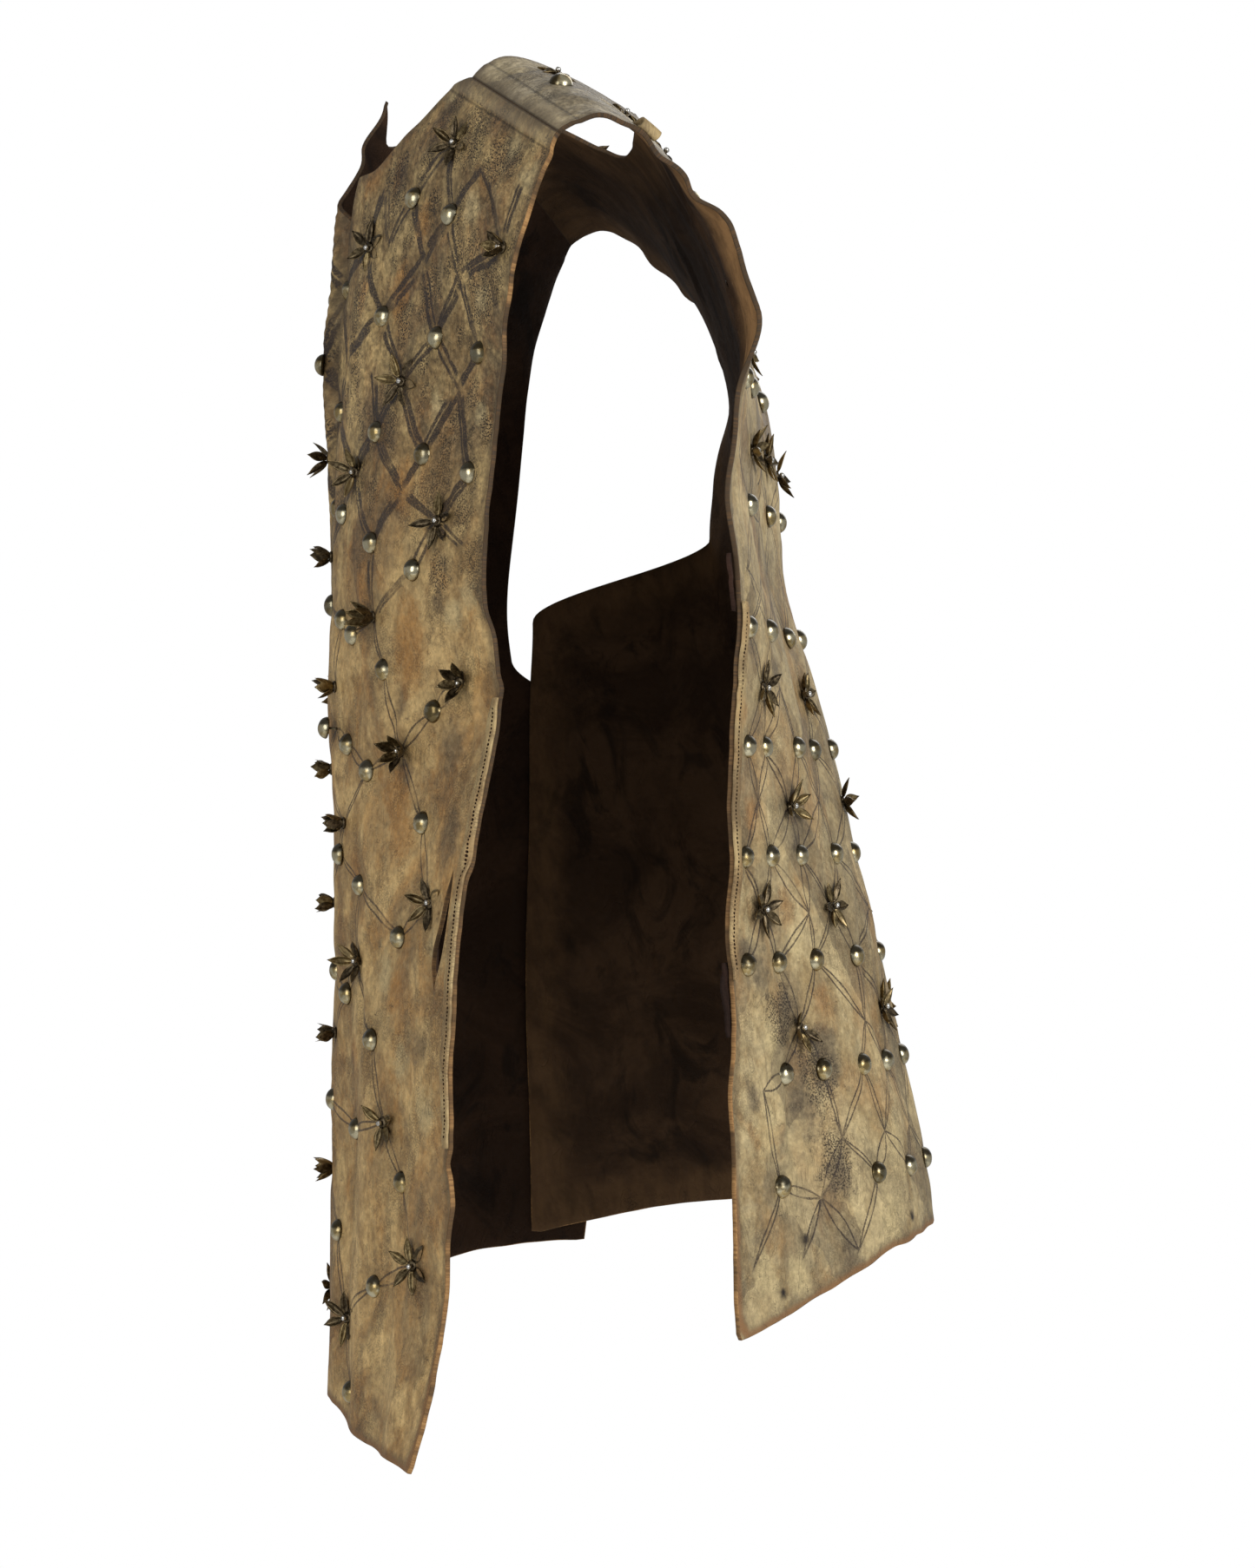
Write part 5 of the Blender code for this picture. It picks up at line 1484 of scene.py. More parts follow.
def hide_grain_group():
    """Pebbled grain, brushed nap, dark pores and thin wandering wrinkles."""
    tree, nodes, takes, gives = new_group(
        "hide grain", [("Place", "Vector", None), ("Coarse", "Float", 1.0)],
        [
            ("Height", "Float"), ("Pits", "Float"), ("Pores", "Float"), ("Nap", "Float"),
            ("Wrinkles", "Float"),
        ])
    place = nodes.add("VectorMath", {0: takes["Place"], 3: takes["Coarse"]}, operation="SCALE").outputs[0]
    pebble = nodes.noise(place, 620, 3, 0.55)
    nap = nodes.noise(nodes.stretch(place, 360, 240, 360), 1.0, 4, 0.6)
    pits = nodes.noise(place, 780, 2, 0.65)
    patchy = nodes.noise(nodes.stretch(place, 34, 22, 34), 1.0, 4, 0.65)
    pits = nodes.rise(pits, 0.48, 0.56)
    pores = nodes.math("MULTIPLY", pits, nodes.rise(patchy, 0.46, 0.60))
    winding = nodes.noise(nodes.stretch(place, 62, 26, 62), 1.0, 3, 0.55, 1.4)
    across = nodes.noise(nodes.stretch(place, 24, 30, 24), 1.0, 2, 0.5, 1.0)
    near = nodes.math("ABSOLUTE", nodes.math("SUBTRACT", winding, 0.5))
    wrinkles = nodes.math("MULTIPLY", nodes.rise(near, 0.022, 0.0), nodes.rise(across, 0.42, 0.60))
    height = nodes.math("ADD", nodes.math("MULTIPLY", pebble, 0.55), nodes.math("MULTIPLY", nap, 0.35))
    height = nodes.math("SUBTRACT", height, nodes.math("MULTIPLY", pores, 0.30))
    nodes.feed(gives["Height"], nodes.math("SUBTRACT", height, nodes.math("MULTIPLY", wrinkles, 0.5)))
    nodes.feed(gives["Pits"], pits)
    nodes.feed(gives["Pores"], pores)
    nodes.feed(gives["Nap"], nap)
    nodes.feed(gives["Wrinkles"], wrinkles)
    return tree


def brushed_colour_group():
    """Clouds and mottling of old stain, a little drawn out down the leather."""
    tree, nodes, takes, gives = new_group(
        "brushed colour",
        [("Place", "Vector", None), ("Pale", "Color", None), ("Middle", "Color", None),
         ("Warm", "Color", None), ("Deep", "Color", None), ("Warmth", "Float", 0.6),
         ("Depth", "Float", 0.6)],
        [("Color", "Color")])
    place = takes["Place"]
    mottle = nodes.noise(nodes.stretch(place, 64, 48, 64), 1.0, 6, 0.68, 0.3)
    cloud = nodes.noise(nodes.stretch(place, 24, 16, 24), 1.0, 5, 0.60, 0.8)
    warm_cloud = nodes.noise(nodes.stretch(place, 18, 11, 18), 1.0, 5, 0.62, 1.0)
    streak = nodes.noise(nodes.stretch(place, 80, 26, 80), 1.0, 4, 0.6, 0.4)
    deep_cloud = nodes.noise(nodes.stretch(place, 17, 11, 17), 1.0, 6, 0.66, 0.8)
    blend = nodes.math("ADD", nodes.math("MULTIPLY", mottle, 0.45), nodes.math("MULTIPLY", cloud, 0.55))
    colour = nodes.mix(nodes.rise(blend, 0.42, 0.58), takes["Middle"], takes["Pale"])
    warm = nodes.math("MULTIPLY", nodes.rise(warm_cloud, 0.46, 0.62), takes["Warmth"])
    colour = nodes.mix(warm, colour, takes["Warm"])
    colour = nodes.mix(nodes.rise(streak, 0.54, 0.70, 0.0, 0.22), colour, takes["Deep"])
    spotted = nodes.math(
        "ADD", nodes.math("MULTIPLY", deep_cloud, 0.75), nodes.math("MULTIPLY", mottle, 0.25),
    )
    deep = nodes.math("MULTIPLY", nodes.rise(spotted, 0.47, 0.60), takes["Depth"])
    nodes.feed(gives["Color"], nodes.mix(deep, colour, takes["Deep"]))
    return tree


def diamond_tone_group():
    """Diamonds between the rows of studs, some stained paler and some darker than their neighbours."""
    tree, nodes, takes, gives = new_group(
        "diamond tone", [("Place", "Vector", None)], [("Light", "Float"), ("Dark", "Float")])
    place = takes["Place"]
    wander = nodes.math("MULTIPLY_ADD", nodes.noise(place, 26, 3, 0.55), 0.9, -0.45)
    across, down = nodes.split(place)[:2]
    u = nodes.math("MULTIPLY_ADD", across, 1 / DIAMOND_WIDTH, wander)
    v = nodes.math("DIVIDE", nodes.math("SUBTRACT", down, DIAMOND_ROW), DIAMOND_HEIGHT)
    column = nodes.math("FLOOR", nodes.math("ADD", u, v))
    row = nodes.math("FLOOR", nodes.math("SUBTRACT", u, v))
    cell = nodes.add("CombineXYZ", {0: column, 1: row})
    tone = nodes.add("TexWhiteNoise", {"Vector": cell.outputs[0]}).outputs["Value"]
    nodes.feed(gives["Light"], nodes.rise(tone, 0.55, 0.95))
    nodes.feed(gives["Dark"], nodes.rise(tone, 0.45, 0.05))
    return tree


def inked_loop_group():
    """Two uneven inked lines that part and meet again between two studs, or one when they don't part."""
    tree, nodes, takes, gives = new_group(
        "inked loop", [("Link", "Vector", None), ("Place", "Vector", None), ("Wear", "Float", 0.5)],
        [("Mask", "Float")])
    along, beside, gap = nodes.split(takes["Link"])[:3]
    place = takes["Place"]
    held = nodes.math("MINIMUM", nodes.math("MAXIMUM", along, 0.0), 1.0)
    gap = nodes.math("MULTIPLY", gap, nodes.math("SINE", nodes.math("MULTIPLY", held, math.pi)))
    sway = nodes.math("MULTIPLY_ADD", nodes.noise(place, 60, 2, 0.5), 2.4, -1.2)
    tremble = nodes.math("MULTIPLY_ADD", nodes.noise(place, 700, 2, 0.5), 0.7, -0.35)
    line = nodes.math("ADD", nodes.math("ADD", beside, sway), tremble)
    away = nodes.math("ABSOLUTE", nodes.math("SUBTRACT", nodes.math("ABSOLUTE", line), gap))
    uneven = nodes.math("MULTIPLY_ADD", nodes.noise(place, 90, 2, 0.5), 1.2, 0.45)
    away = nodes.math("DIVIDE", away, uneven)
    solid = nodes.math("SUBTRACT", 1.0, nodes.rise(away, 0.70, 1.35))
    ends = nodes.math("MULTIPLY", nodes.rise(along, -0.08, 0.03), nodes.rise(along, 1.08, 0.97))
    broken = nodes.rise(
        nodes.noise(place, 38, 3, 0.6), 0.32, 0.50, nodes.math("SUBTRACT", 1.0, takes["Wear"]), 1.0,
    )
    rubbed = nodes.rise(nodes.noise(place, 900, 2, 0.6), 0.34, 0.54, 0.50, 1.0)
    mask = nodes.math(
        "MULTIPLY", nodes.math("MULTIPLY", solid, ends), nodes.math("MULTIPLY", broken, rubbed),
    )
    nodes.feed(gives["Mask"], mask)
    return tree


def edge_band_group():
    """A worn band along a cut edge, from the distance to that edge in centimetres."""
    tree, nodes, takes, gives = new_group(
        "edge band", [("Place", "Vector", None), ("Distance", "Float", 1.0), ("Width", "Float", 1.0)],
        [("Band", "Float"), ("Scuff", "Float")])
    place = takes["Place"]
    uneven = nodes.math("MULTIPLY_ADD", nodes.noise(place, 60, 4, 0.6), 1.4, 0.3)
    reach = nodes.math("MULTIPLY", takes["Width"], uneven)
    band = nodes.math(
        "SUBTRACT", 1.0, nodes.rise(takes["Distance"], nodes.math("MULTIPLY", reach, 0.2), reach),
    )
    flecks = nodes.rise(nodes.noise(nodes.stretch(place, 300, 90, 300), 1.0, 3, 0.6), 0.56, 0.70)
    nodes.feed(gives["Band"], band)
    nodes.feed(gives["Scuff"], nodes.math("MULTIPLY", band, flecks))
    return tree


def new_finish(name):
    made = bpy.data.materials.new(name)
    made.use_nodes = True
    nodes = Nodes(made.node_tree)
    shader = made.node_tree.nodes["Principled BSDF"]
    return made, nodes, shader


def bump(nodes, height, strength, depth):
    return nodes.add("Bump", {"Height": height, "Strength": strength, "Distance": depth}).outputs[0]


DIAMOND_WIDTH, DIAMOND_HEIGHT, DIAMOND_ROW = 0.048, 0.066, 0.416
GRAIN = hide_grain_group()
DIAMONDS = diamond_tone_group()
BRUSHED = brushed_colour_group()
LOOPS = inked_loop_group()
BAND = edge_band_group()

INK = tint(49, 39, 35)
PALE_HIDE = tint(202, 182, 134)
WELT_HIDE = tint(188, 170, 136)
RAW_HIDE = tint(136, 98, 62)
# dark colour for soot, pores and wrinkles, and for the painted shade of the seam groove and neck slit
SOOT_AND_SHADE = tint(44, 36, 28)


def grain_face(name, colours, upper_colours, upper_range, ink_share, soot_share, pore_share, tile_share):
    """The grain side of a panel: mottled stain, pores, soot round the metal, ink, worn edges, and painted
    shade in the seam groove, along the neck slit and in empty stud holes.
    """
    made, nodes, shader = new_finish(name)
    place = nodes.value("flat")
    down = nodes.split(place)[1]
    soot_and_slit_shadow, distance, hole = nodes.split(nodes.value("marks"))[:3]
    uneven_down = nodes.math(
        "ADD", down, nodes.math("MULTIPLY_ADD", nodes.noise(place, 12, 4), 0.24, -0.12),
    )
    upper = nodes.rise(uneven_down, upper_range[1], upper_range[0])

    def brushed(shades):
        sockets = dict(zip(("Pale", "Middle", "Warm", "Deep"), shades[:4]))
        sockets.update({"Place": place, "Warmth": shades[4], "Depth": shades[5]})
        return nodes.use(BRUSHED, sockets)["Color"]

    colour = nodes.mix(upper, brushed(colours), brushed(upper_colours))
    tile = nodes.use(DIAMONDS, {"Place": place})
    colour = nodes.mix(nodes.math("MULTIPLY", tile["Light"], tile_share), colour, colours[0])
    colour = nodes.mix(nodes.math("MULTIPLY", tile["Dark"], tile_share), colour, colours[3])
    ragged = nodes.math("MULTIPLY_ADD", nodes.noise(place, 95, 5, 0.68), 1.7, -0.85)
    pale, warm, dark = nodes.split(nodes.value("tones"))[:3]
    pepper = nodes.split(nodes.value("spots"))[0]
    for value, shade, most in ((dark, colours[3], 0.72), (warm, colours[2], 0.60), (pale, PALE_HIDE, 0.60)):
        colour = nodes.mix(
            nodes.rise(nodes.math("ADD", value, ragged), 0.22, 0.95, 0.0, most), colour, shade,
        )
    grain = nodes.use(GRAIN, {"Place": place, "Coarse": 1.0})
    nap = nodes.rise(grain["Nap"], 0.40, 0.62, 0.0, 0.18)
    colour = nodes.mix(nap, colour, nodes.mix(0.6, colour, tint(206, 184, 140)))
    for scale, low, high in ((250, 0.66, 1.24), (105, 0.76, 1.16)):
        grey = nodes.rise(nodes.noise(place, scale, 4, 0.66), 0.34, 0.66, low, high)
        colour = nodes.mix(nodes.math("MULTIPLY_ADD", upper, 0.50, 0.50), colour, grey, "MULTIPLY")
    colour = nodes.mix(nodes.math("MULTIPLY", grain["Wrinkles"], 0.12), colour, SOOT_AND_SHADE)
    share = nodes.math("MULTIPLY_ADD", upper, pore_share * 0.62, pore_share * 0.38)
    peppered = nodes.math(
        "MULTIPLY", grain["Pits"], nodes.rise(nodes.math("ADD", pepper, ragged), 0.02, 0.50, 0.0, 0.90),
    )
    pores = nodes.math("MAXIMUM", nodes.math("MULTIPLY", grain["Pores"], share), peppered)
    colour = nodes.mix(pores, colour, SOOT_AND_SHADE)
    welt = nodes.rise(down, SEAM_WELT, SEAM_WELT - 0.003)
    colour = nodes.mix(nodes.math("MULTIPLY", welt, 0.30), colour, WELT_HIDE)
    # painted shade: the groove below the seam welt and the seam line itself are darkened
    off_groove = nodes.math("ABSOLUTE", nodes.math("SUBTRACT", down, SEAM_WELT + 0.0005))
    groove = nodes.rise(off_groove, 0.0011, 0.0002, 0.0, 0.5)
    groove = nodes.math("MAXIMUM", groove, nodes.rise(down, 0.0016, 0.0003))
    colour = nodes.mix(nodes.math("MULTIPLY", groove, 0.85), colour, SOOT_AND_SHADE)
    # the soot round the metal and the painted shadow along the neck slit darken the colour here
    sooty = nodes.math(
        "MULTIPLY", soot_and_slit_shadow, nodes.rise(nodes.noise(place, 200, 5, 0.75), 0.34, 0.62, 0.15, 1.0),
    )
    share = nodes.math("MULTIPLY_ADD", upper, soot_share * 0.4, soot_share * 0.6)
    colour = nodes.mix(nodes.math("MULTIPLY", sooty, share, clamp=True), colour, SOOT_AND_SHADE)
    masks = [
        nodes.use(LOOPS, {"Link": nodes.value(label), "Place": place, "Wear": 0.45})["Mask"]
        for label in ("ink_a", "ink_b")
    ]
    ink = nodes.math("MAXIMUM", *masks)
    share = nodes.math("MULTIPLY_ADD", upper, ink_share[1] - ink_share[0], ink_share[0])
    ink = nodes.math("MULTIPLY", ink, share)
    colour = nodes.mix(ink, colour, INK)
    edges = nodes.use(BAND, {"Place": place, "Distance": distance, "Width": 0.9})
    colour = nodes.mix(nodes.math("MULTIPLY", edges["Band"], 0.55), colour, tint(82, 68, 50))
    colour = nodes.mix(nodes.math("MULTIPLY", edges["Scuff"], 0.22), colour, tint(176, 160, 128))
    raw = nodes.use(BAND, {"Place": place, "Distance": distance, "Width": 0.55})["Band"]
    raw = nodes.math("MULTIPLY", raw, nodes.rise(down, 0.71, 0.77, 0.0, 0.85))
    colour = nodes.mix(raw, colour, RAW_HIDE)
    # painted shade: the dark middles of the empty stud holes, with their dark rings
    colour = nodes.mix(nodes.math("MULTIPLY", hole, 0.85, clamp=True), colour, tint(38, 30, 24))
    nodes.feed(shader.inputs["Base Color"], colour)
    rough = nodes.rise(grain["Height"], 0.3, 0.8, 0.56, 0.76)
    nodes.feed(shader.inputs["Roughness"], nodes.math("SUBTRACT", rough, nodes.math("MULTIPLY", ink, 0.10)))
    shader.inputs["Specular IOR Level"].default_value = 0.32
    creased = nodes.noise(nodes.stretch(place, 84, 58, 84), 1.0, 4, 0.55, 0.5)
    height = nodes.math("ADD", grain["Height"], nodes.math("MULTIPLY", creased, 1.7))
    height = nodes.math("SUBTRACT", height, nodes.math("MULTIPLY", ink, 0.25))
    height = nodes.math("ADD", height, nodes.math("MULTIPLY", nodes.rise(down, 0.0140, 0.0118), 0.9))
    height = nodes.math("SUBTRACT", height, nodes.math("MULTIPLY", groove, 1.0))
    nodes.feed(shader.inputs["Normal"], bump(nodes, height, 0.9, 0.0008))
    return made


def suede(name, pale, middle, deep, rim=None):
    """The napped flesh side: soft clouds, brushed nap, darker stains and, when a rim colour is given, a
    paler streaked band at the cut edge that is partly rubbed and partly painted light.
    """
    made, nodes, shader = new_finish(name)
    place = nodes.value("flat")
    grain = nodes.use(GRAIN, {"Place": place, "Coarse": 0.8})
    cloud = nodes.noise(place, 13, 5, 0.65, 0.7)
    stain = nodes.noise(nodes.stretch(place, 30, 18, 30), 1.0, 4, 0.6, 1.0)
    colour = nodes.mix(nodes.rise(cloud, 0.40, 0.62), middle, pale)
    colour = nodes.mix(nodes.rise(stain, 0.50, 0.66, 0.0, 0.8), colour, deep)
    pale_share, warm_share, dark_share = nodes.split(nodes.value("tones"))[:3]
    uneven_stain = nodes.math("MULTIPLY_ADD", stain, 1.6, -0.8)
    for value, shade, most in ((warm_share, pale, 0.6), (dark_share, deep, 0.8), (pale_share, deep, 0.5)):
        colour = nodes.mix(
            nodes.rise(nodes.math("ADD", value, uneven_stain), 0.3, 0.8, 0.0, most), colour, shade,
        )
    # rim band: paler near the cut edge and streaked, mostly on the near side; partly rubbed wear, partly
    # painted light falling on the inner face near the opening
    if rim:
        distance = nodes.split(nodes.value("marks"))[1]
        uneven = nodes.math("MULTIPLY_ADD", nodes.noise(place, 40, 4, 0.6), 3.0, -1.5)
        band = nodes.rise(nodes.math("ADD", distance, uneven), 3.4, 1.0)
        streaked = nodes.rise(
            nodes.noise(nodes.stretch(place, 90, 30, 90), 1.0, 4, 0.6), 0.40, 0.62, 0.55, 1.0,
        )
        near = nodes.rise(nodes.split(place)[0], -0.08, 0.04, 0.25, 1.0)
        band = nodes.math("MULTIPLY", nodes.math("MULTIPLY", band, streaked), near)
        colour = nodes.mix(band, colour, rim)
    colour = nodes.mix(nodes.math("MULTIPLY", grain["Nap"], 0.4), colour, nodes.mix(0.4, colour, pale))
    nodes.feed(shader.inputs["Base Color"], colour)
    nodes.feed(shader.inputs["Roughness"], nodes.rise(grain["Nap"], 0.3, 0.7, 0.80, 0.95))
    shader.inputs["Specular IOR Level"].default_value = 0.2
    nodes.feed(shader.inputs["Normal"], bump(nodes, grain["Height"], 0.8, 0.0007))
    return made


def cut_edge(name, worn_dark, middle, pale, deep):
    """The raw cut through the hide: dirty at neck and armholes, orange-brown fibre down at the hem."""
    made, nodes, shader = new_finish(name)
    place = nodes.value("flat")
    fibre = nodes.noise(nodes.stretch(place, 900, 700, 900), 1.0, 4, 0.65)
    rubbed = nodes.noise(place, 42, 4, 0.6)
    colour = nodes.mix(nodes.rise(fibre, 0.38, 0.62), middle, pale)
    low = nodes.math("ADD", nodes.split(place)[1], nodes.math("MULTIPLY_ADD", rubbed, 0.3, -0.15))
    across = nodes.math("ABSOLUTE", nodes.split(place)[0])
    shoulder = nodes.math("MULTIPLY", nodes.rise(across, 0.13, 0.16), nodes.rise(low, 0.16, 0.06))
    shoulder = nodes.math("MULTIPLY", shoulder, nodes.rise(nodes.split(place)[1], 0.002, 0.008))
    shoulder = nodes.math("MULTIPLY", shoulder, nodes.rise(nodes.split(place)[2], 1.0, 0.5))
    dirty = nodes.math("MULTIPLY", nodes.rise(low, 0.72, 0.34), nodes.math("SUBTRACT", 1.0, shoulder))
    colour = nodes.mix(
        dirty, colour, nodes.mix(nodes.rise(fibre, 0.38, 0.62, 0.0, 0.35), worn_dark, middle),
    )
    colour = nodes.mix(nodes.rise(rubbed, 0.42, 0.62, 0.0, 0.8), colour, deep)
    nodes.feed(shader.inputs["Base Color"], colour)
    nodes.feed(shader.inputs["Roughness"], nodes.rise(fibre, 0.3, 0.7, 0.68, 0.90))
    shader.inputs["Specular IOR Level"].default_value = 0.25
    nodes.feed(shader.inputs["Normal"], bump(nodes, fibre, 0.7, 0.0004))
    return made


def strip_leather(name, shades):
    """The pale lacing strip: brushed tan, rubbed darker along its folds."""
    made, nodes, shader = new_finish(name)
    place = nodes.value("flat")
    sockets = dict(zip(("Pale", "Middle", "Warm", "Deep"), shades))
    sockets.update({"Place": nodes.stretch(place, 1.6, 1.6, 1.6), "Warmth": 0.5, "Depth": 0.6})
    colour = nodes.use(BRUSHED, sockets)["Color"]
    grain = nodes.use(GRAIN, {"Place": place, "Coarse": 1.3})
    colour = nodes.mix(nodes.math("MULTIPLY", grain["Pores"], 0.5), colour, shades[3])
    nodes.feed(shader.inputs["Base Color"], colour)
    nodes.feed(shader.inputs["Roughness"], nodes.rise(grain["Height"], 0.3, 0.8, 0.60, 0.78))
    shader.inputs["Specular IOR Level"].default_value = 0.35
    nodes.feed(shader.inputs["Normal"], bump(nodes, grain["Height"], 0.6, 0.0004))
    return made


def stud_metal(name):
    """Silvered brass domes: bright on top, with painted shadow at the rim and a painted dark reflection on
    the side towards the shoulder.
    """
    made, nodes, shader = new_finish(name)
    up, height, tone = nodes.split(nodes.value("local"))[:3]
    place = nodes.add("TexCoord").outputs["Object"]
    mottled = nodes.noise(place, 330, 4, 0.65)
    worn_patch = nodes.noise(place, 120, 3, 0.6)
    silver = nodes.mix(nodes.rise(worn_patch, 0.40, 0.62), tint(204, 195, 164), tint(170, 148, 100))
    # painted shadow: the rim darkens where the dome meets the leather
    rim = nodes.rise(height, 0.42, 0.02)
    # painted reflection: the side towards the shoulder darkens, as a dark ceiling would show in it
    shade = nodes.rise(nodes.math("ADD", up, nodes.math("MULTIPLY_ADD", mottled, 0.5, -0.25)), 0.04, 0.36)
    spots = nodes.rise(mottled, 0.54, 0.76, 0.0, 0.45)
    dull = nodes.rise(tone, 0.78, 0.97, 0.0, 0.60)
    edges = nodes.math("MAXIMUM", nodes.math("MULTIPLY", rim, 0.75), nodes.math("MULTIPLY", shade, 0.88))
    dark = nodes.math("MAXIMUM", edges, nodes.math("MAXIMUM", spots, dull))
    nodes.feed(shader.inputs["Base Color"], nodes.mix(dark, silver, tint(40, 35, 27)))
    shader.inputs["Metallic"].default_value = 1.0
    nodes.feed(shader.inputs["Roughness"], nodes.rise(mottled, 0.3, 0.7, 0.17, 0.36))
    nodes.feed(shader.inputs["Normal"], bump(nodes, mottled, 0.30, 0.0003))
    return made


def petal_metal(name):
    """Petals of dark aged metal, brassy where they are rubbed, with one petal on most flowers painted
    bright as a highlight.
    """
    made, nodes, shader = new_finish(name)
    _, beside, tone = nodes.split(nodes.value("local"))[:3]
    place = nodes.add("TexCoord").outputs["Object"]
    mottled = nodes.noise(place, 420, 4, 0.65)
    lip = nodes.rise(nodes.math("ABSOLUTE", beside), 0.72, 1.0)
    rubbed = nodes.math("MULTIPLY", lip, nodes.rise(mottled, 0.42, 0.62, 0.15, 0.8))
    # painted highlight: the chosen petal is made brighter, as if it caught the light
    bright = nodes.math(
        "MULTIPLY", nodes.rise(tone, 0.45, 0.85), nodes.rise(mottled, 0.30, 0.60, 0.55, 1.0),
    )
    dark = nodes.mix(nodes.rise(mottled, 0.38, 0.66), tint(62, 53, 40), tint(110, 97, 76))
    olive = nodes.mix(nodes.rise(mottled, 0.38, 0.66), tint(112, 94, 62), tint(156, 138, 98))
    dark = nodes.mix(nodes.rise(tone, 0.12, 0.42, 0.0, 0.85), dark, olive)
    colour = nodes.mix(nodes.math("MULTIPLY", rubbed, 0.6), dark, tint(166, 142, 98))
    nodes.feed(shader.inputs["Base Color"], nodes.mix(bright, colour, tint(158, 138, 100)))
    shader.inputs["Metallic"].default_value = 1.0
    nodes.feed(shader.inputs["Roughness"], nodes.rise(mottled, 0.3, 0.7, 0.28, 0.48))
    nodes.feed(shader.inputs["Normal"], bump(nodes, mottled, 0.4, 0.0003))
    return made


def pin_metal(name):
    """Bright steel ball heads with fine tarnish."""
    made, nodes, shader = new_finish(name)
    place = nodes.add("TexCoord").outputs["Object"]
    mottled = nodes.noise(place, 700, 4, 0.6)
    nodes.feed(
        shader.inputs["Base Color"],
        nodes.mix(nodes.rise(mottled, 0.48, 0.70), tint(214, 212, 206), tint(120, 108, 90)),
    )
    shader.inputs["Metallic"].default_value = 1.0
    nodes.feed(shader.inputs["Roughness"], nodes.rise(mottled, 0.3, 0.7, 0.14, 0.30))
    nodes.feed(shader.inputs["Normal"], bump(nodes, mottled, 0.2, 0.0002))
    return made


FRONT_HIDE = grain_face(
    "front hide",
    (tint(220, 186, 126), tint(170, 136, 86), tint(174, 122, 60), tint(98, 80, 58), 0.60, 0.55),
    (tint(196, 168, 114), tint(138, 112, 72), tint(146, 98, 52), tint(70, 58, 46), 0.55, 0.75),
    (0.16, 0.34), (0.84, 0.97), 0.80, 1.0, 0.22,
)
BACK_HIDE = grain_face(
    "back hide",
    (tint(192, 172, 128), tint(154, 131, 90), tint(156, 114, 66), tint(88, 77, 62), 0.45, 0.55),
    (tint(182, 170, 146), tint(142, 129, 104), tint(144, 118, 84), tint(82, 74, 60), 0.30, 0.60),
    (0.06, 0.22), (0.90, 0.80), 0.58, 0.5, 0.46,
)
FLESH_SIDE = suede("flesh side", tint(66, 46, 31), tint(50, 34, 22), tint(28, 19, 13))
# the last colour is the paler rim band, partly painted light on the near side
BACK_FLESH_SIDE = suede(
    "back flesh side", tint(84, 62, 42), tint(58, 41, 27), tint(30, 20, 13), tint(160, 122, 80))
CUT_EDGE = cut_edge("cut edge", tint(60, 50, 39), tint(132, 96, 58), tint(172, 132, 84), tint(66, 52, 36))
STRIP_LEATHER = strip_leather(
    "strip leather", (tint(190, 166, 118), tint(156, 132, 92), tint(150, 114, 70), tint(88, 70, 48)))
TORN_SUEDE = suede("torn suede", tint(54, 35, 26), tint(38, 24, 17), tint(22, 14, 10))
STUD_METAL = stud_metal("stud metal")
PETAL_METAL = petal_metal("petal metal")
PIN_METAL = pin_metal("pin metal")


# The tunic

FRONT_PANEL = make_panel("front_panel", -1, FRONT_SECTIONS, FRONT_FOLDS, FRONT_OVERLAP, FRONT_CREASES, 0)
BACK_PANEL = make_panel("back_panel", 1, BACK_SECTIONS, BACK_FOLDS, BACK_OVERLAP, BACK_CREASES, 3)
DRAPES = {"front": Drape(FRONT_PANEL), "back": Drape(BACK_PANEL)}


def hide_piece(drape, name, finishes, holes):
    """One panel of the tunic, and the size of its flat cut."""
    loop = outline(drape)
    shell, inks = leather_sheet(
        [loop] + holes, (OUTER_PITCH, INNER_PITCH), lambda u, w, lift: worn(drape, u, w, lift), LEATHER,
        drape.panel.out < 0, drape.panel.number, inks=ink_values(ink_links(drape.panel.name, loop)),
        marks=panel_marks(drape, loop),
    )
    size = loop.max(0) - loop.min(0)
    flat_size = (float(size[0]), float(size[1]))
    return shell.piece(name, finishes, inks), flat_size, abs(float(signed_area(loop)))


def settle(piece, slot, *nodes):
    """Every piece rides on the one body and stands for its solids."""
    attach(piece, BODY)
    if nodes:
        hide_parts(*nodes)
    return piece


rip = spaced(curve_through(RIP + RIP[:1], (RIP[0], RIP[4])), 0.0026)[:-1]
front_hide, front_flat, front_area = hide_piece(
    DRAPES["front"], "front_hide", [FRONT_HIDE, FLESH_SIDE, CUT_EDGE], [rip],
)
back_hide, back_flat, back_area = hide_piece(
    DRAPES["back"], "back_hide", [BACK_HIDE, BACK_FLESH_SIDE, CUT_EDGE], [])
settle(front_hide, "leather", "front_panel")
settle(back_hide, "leather", "back_panel")

# the fourth finish, on the walls of the punched holes, is the dark flesh side, as painted shade inside them
strip_finishes = [STRIP_LEATHER, STRIP_LEATHER, STRIP_LEATHER, FLESH_SIDE]
front_strip = lacing_strip(DRAPES["front"], "front_lacing_strip", 0.372, 0.632, strip_finishes)
back_strip = lacing_strip(DRAPES["back"], "back_lacing_strip", 0.402, 0.622, strip_finishes)
settle(front_strip, "strip", "front_side_strip")
settle(back_strip, "strip", "back_side_strip")

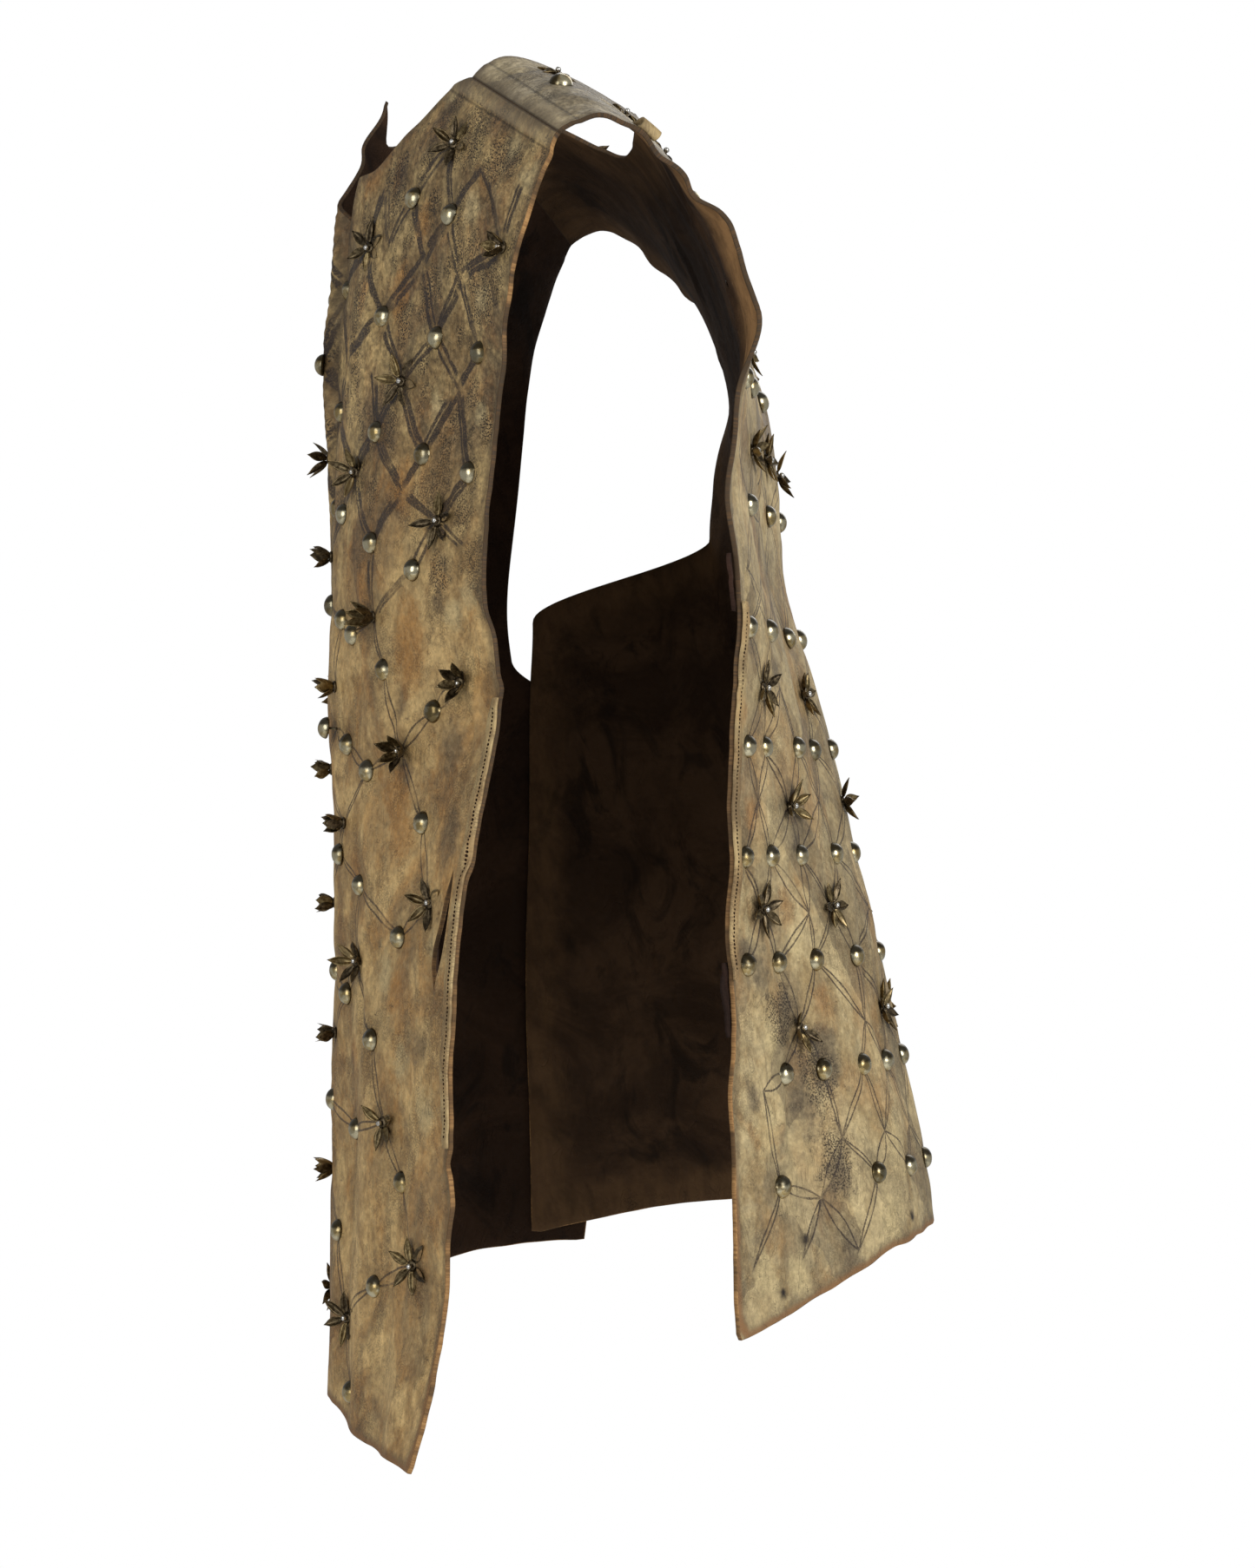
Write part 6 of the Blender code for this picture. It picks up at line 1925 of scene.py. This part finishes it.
torn_finishes = [TORN_SUEDE, TORN_SUEDE, TORN_SUEDE]
TIE_ROWS = (
    (0.374, 0.003, 0.007), (0.380, 0.003, 0.008), (0.390, 0.004, 0.007), (0.400, 0.002, 0.005),
    (0.408, -0.003, 0.002),
)
SCRAP_ROWS = (
    (0.612, -0.006, 0.003), (0.626, -0.004, 0.005), (0.640, -0.005, 0.003), (0.655, -0.003, 0.001),
)
hanging_tie = edge_scrap(DRAPES["back"], "hanging_tie", TIE_ROWS, CLOSE_GAP, 0.0022, torn_finishes, 111)
edge_tear = edge_scrap(DRAPES["back"], "edge_tear", SCRAP_ROWS, CLOSE_GAP, 0.0020, torn_finishes, 121)
shoulder_tab_loop = shoulder_loop(DRAPES["back"], "shoulder_tab_loop", STRIP_LEATHER)
settle(hanging_tie, "suede", "side_tie")
settle(edge_tear, "suede", "torn_scrap")
settle(shoulder_tab_loop, "strip", "shoulder_tab")

for side in ("front", "back"):
    settle(stud_piece(DRAPES[side], side + "_studs", STUD_METAL), "studs")
    settle(flower_piece(DRAPES[side], side + "_flowers", PETAL_METAL, PIN_METAL), "flowers")


# Camera, light and floor

SENSOR = 36.0
FLOOR_LEVEL = -1.40

camera_data = bpy.data.cameras.new("camera")
camera_data.sensor_fit = "VERTICAL"
camera_data.sensor_height = SENSOR
camera_data.lens = FOCAL_PIXELS / PHOTO_HEIGHT * SENSOR
camera = bpy.data.objects.new("camera", camera_data)
camera.location = CAMERA_PLACE
camera.rotation_euler = (math.pi / 2, 0.0, math.pi / 2)
bpy.context.scene.collection.objects.link(camera)
bpy.context.scene.camera = camera


def soft_light(name, place, target, size, power, colour=(1.0, 1.0, 1.0)):
    data = bpy.data.lights.new(name, "AREA")
    data.shape = "RECTANGLE"
    data.size, data.size_y = size
    data.energy = power
    data.color = colour
    light = bpy.data.objects.new(name, data)
    light.location = place
    light.rotation_euler = (Vector(target) - Vector(place)).to_track_quat("-Z", "Y").to_euler()
    bpy.context.scene.collection.objects.link(light)
    return light


soft_light("key light", (1.9, 1.5, 0.25), (0.05, 0.0, -0.35), (0.9, 1.5), 44)
soft_light("fill light", (2.0, -1.3, 0.05), (0.05, -0.05, -0.40), (1.2, 1.8), 18)
soft_light("back light", (-1.8, 0.6, 0.9), (0.0, 0.0, -0.30), (1.6, 1.6), 16)

world = bpy.data.worlds.new("studio")
bpy.context.scene.world = world
world.use_nodes = True
studio = Nodes(world.node_tree)
background = world.node_tree.nodes["Background"]
background.inputs["Color"].default_value = (1.0, 1.0, 1.0, 1.0)
seen = studio.add("LightPath").outputs["Is Camera Ray"]
studio.feed(background.inputs["Strength"], studio.math("MULTIPLY_ADD", seen, 0.66, 0.34))

floor_mesh = bpy.data.meshes.new("floor")
reach = 1.5
floor_mesh.from_pydata(
    [(-reach, -reach, 0), (reach, -reach, 0), (reach, reach, 0), (-reach, reach, 0)], [], [(0, 1, 2, 3)])
floor = bpy.data.objects.new("floor", floor_mesh)
floor.location = (0.0, 0.0, FLOOR_LEVEL)
bpy.context.scene.collection.objects.link(floor)
floor_finish, floor_nodes, floor_shader = new_finish("floor paint")
speckle = floor_nodes.noise(floor_nodes.add("TexCoord").outputs["Object"], 30, 4, 0.6)
floor_nodes.feed(
    floor_shader.inputs["Base Color"],
    floor_nodes.mix(floor_nodes.rise(speckle, 0.3, 0.7), (0.80, 0.80, 0.79, 1.0), (0.84, 0.84, 0.83, 1.0)))
floor_shader.inputs["Roughness"].default_value = 0.7
floor_mesh.materials.append(floor_finish)

bpy.context.scene.view_settings.view_transform = "Standard"
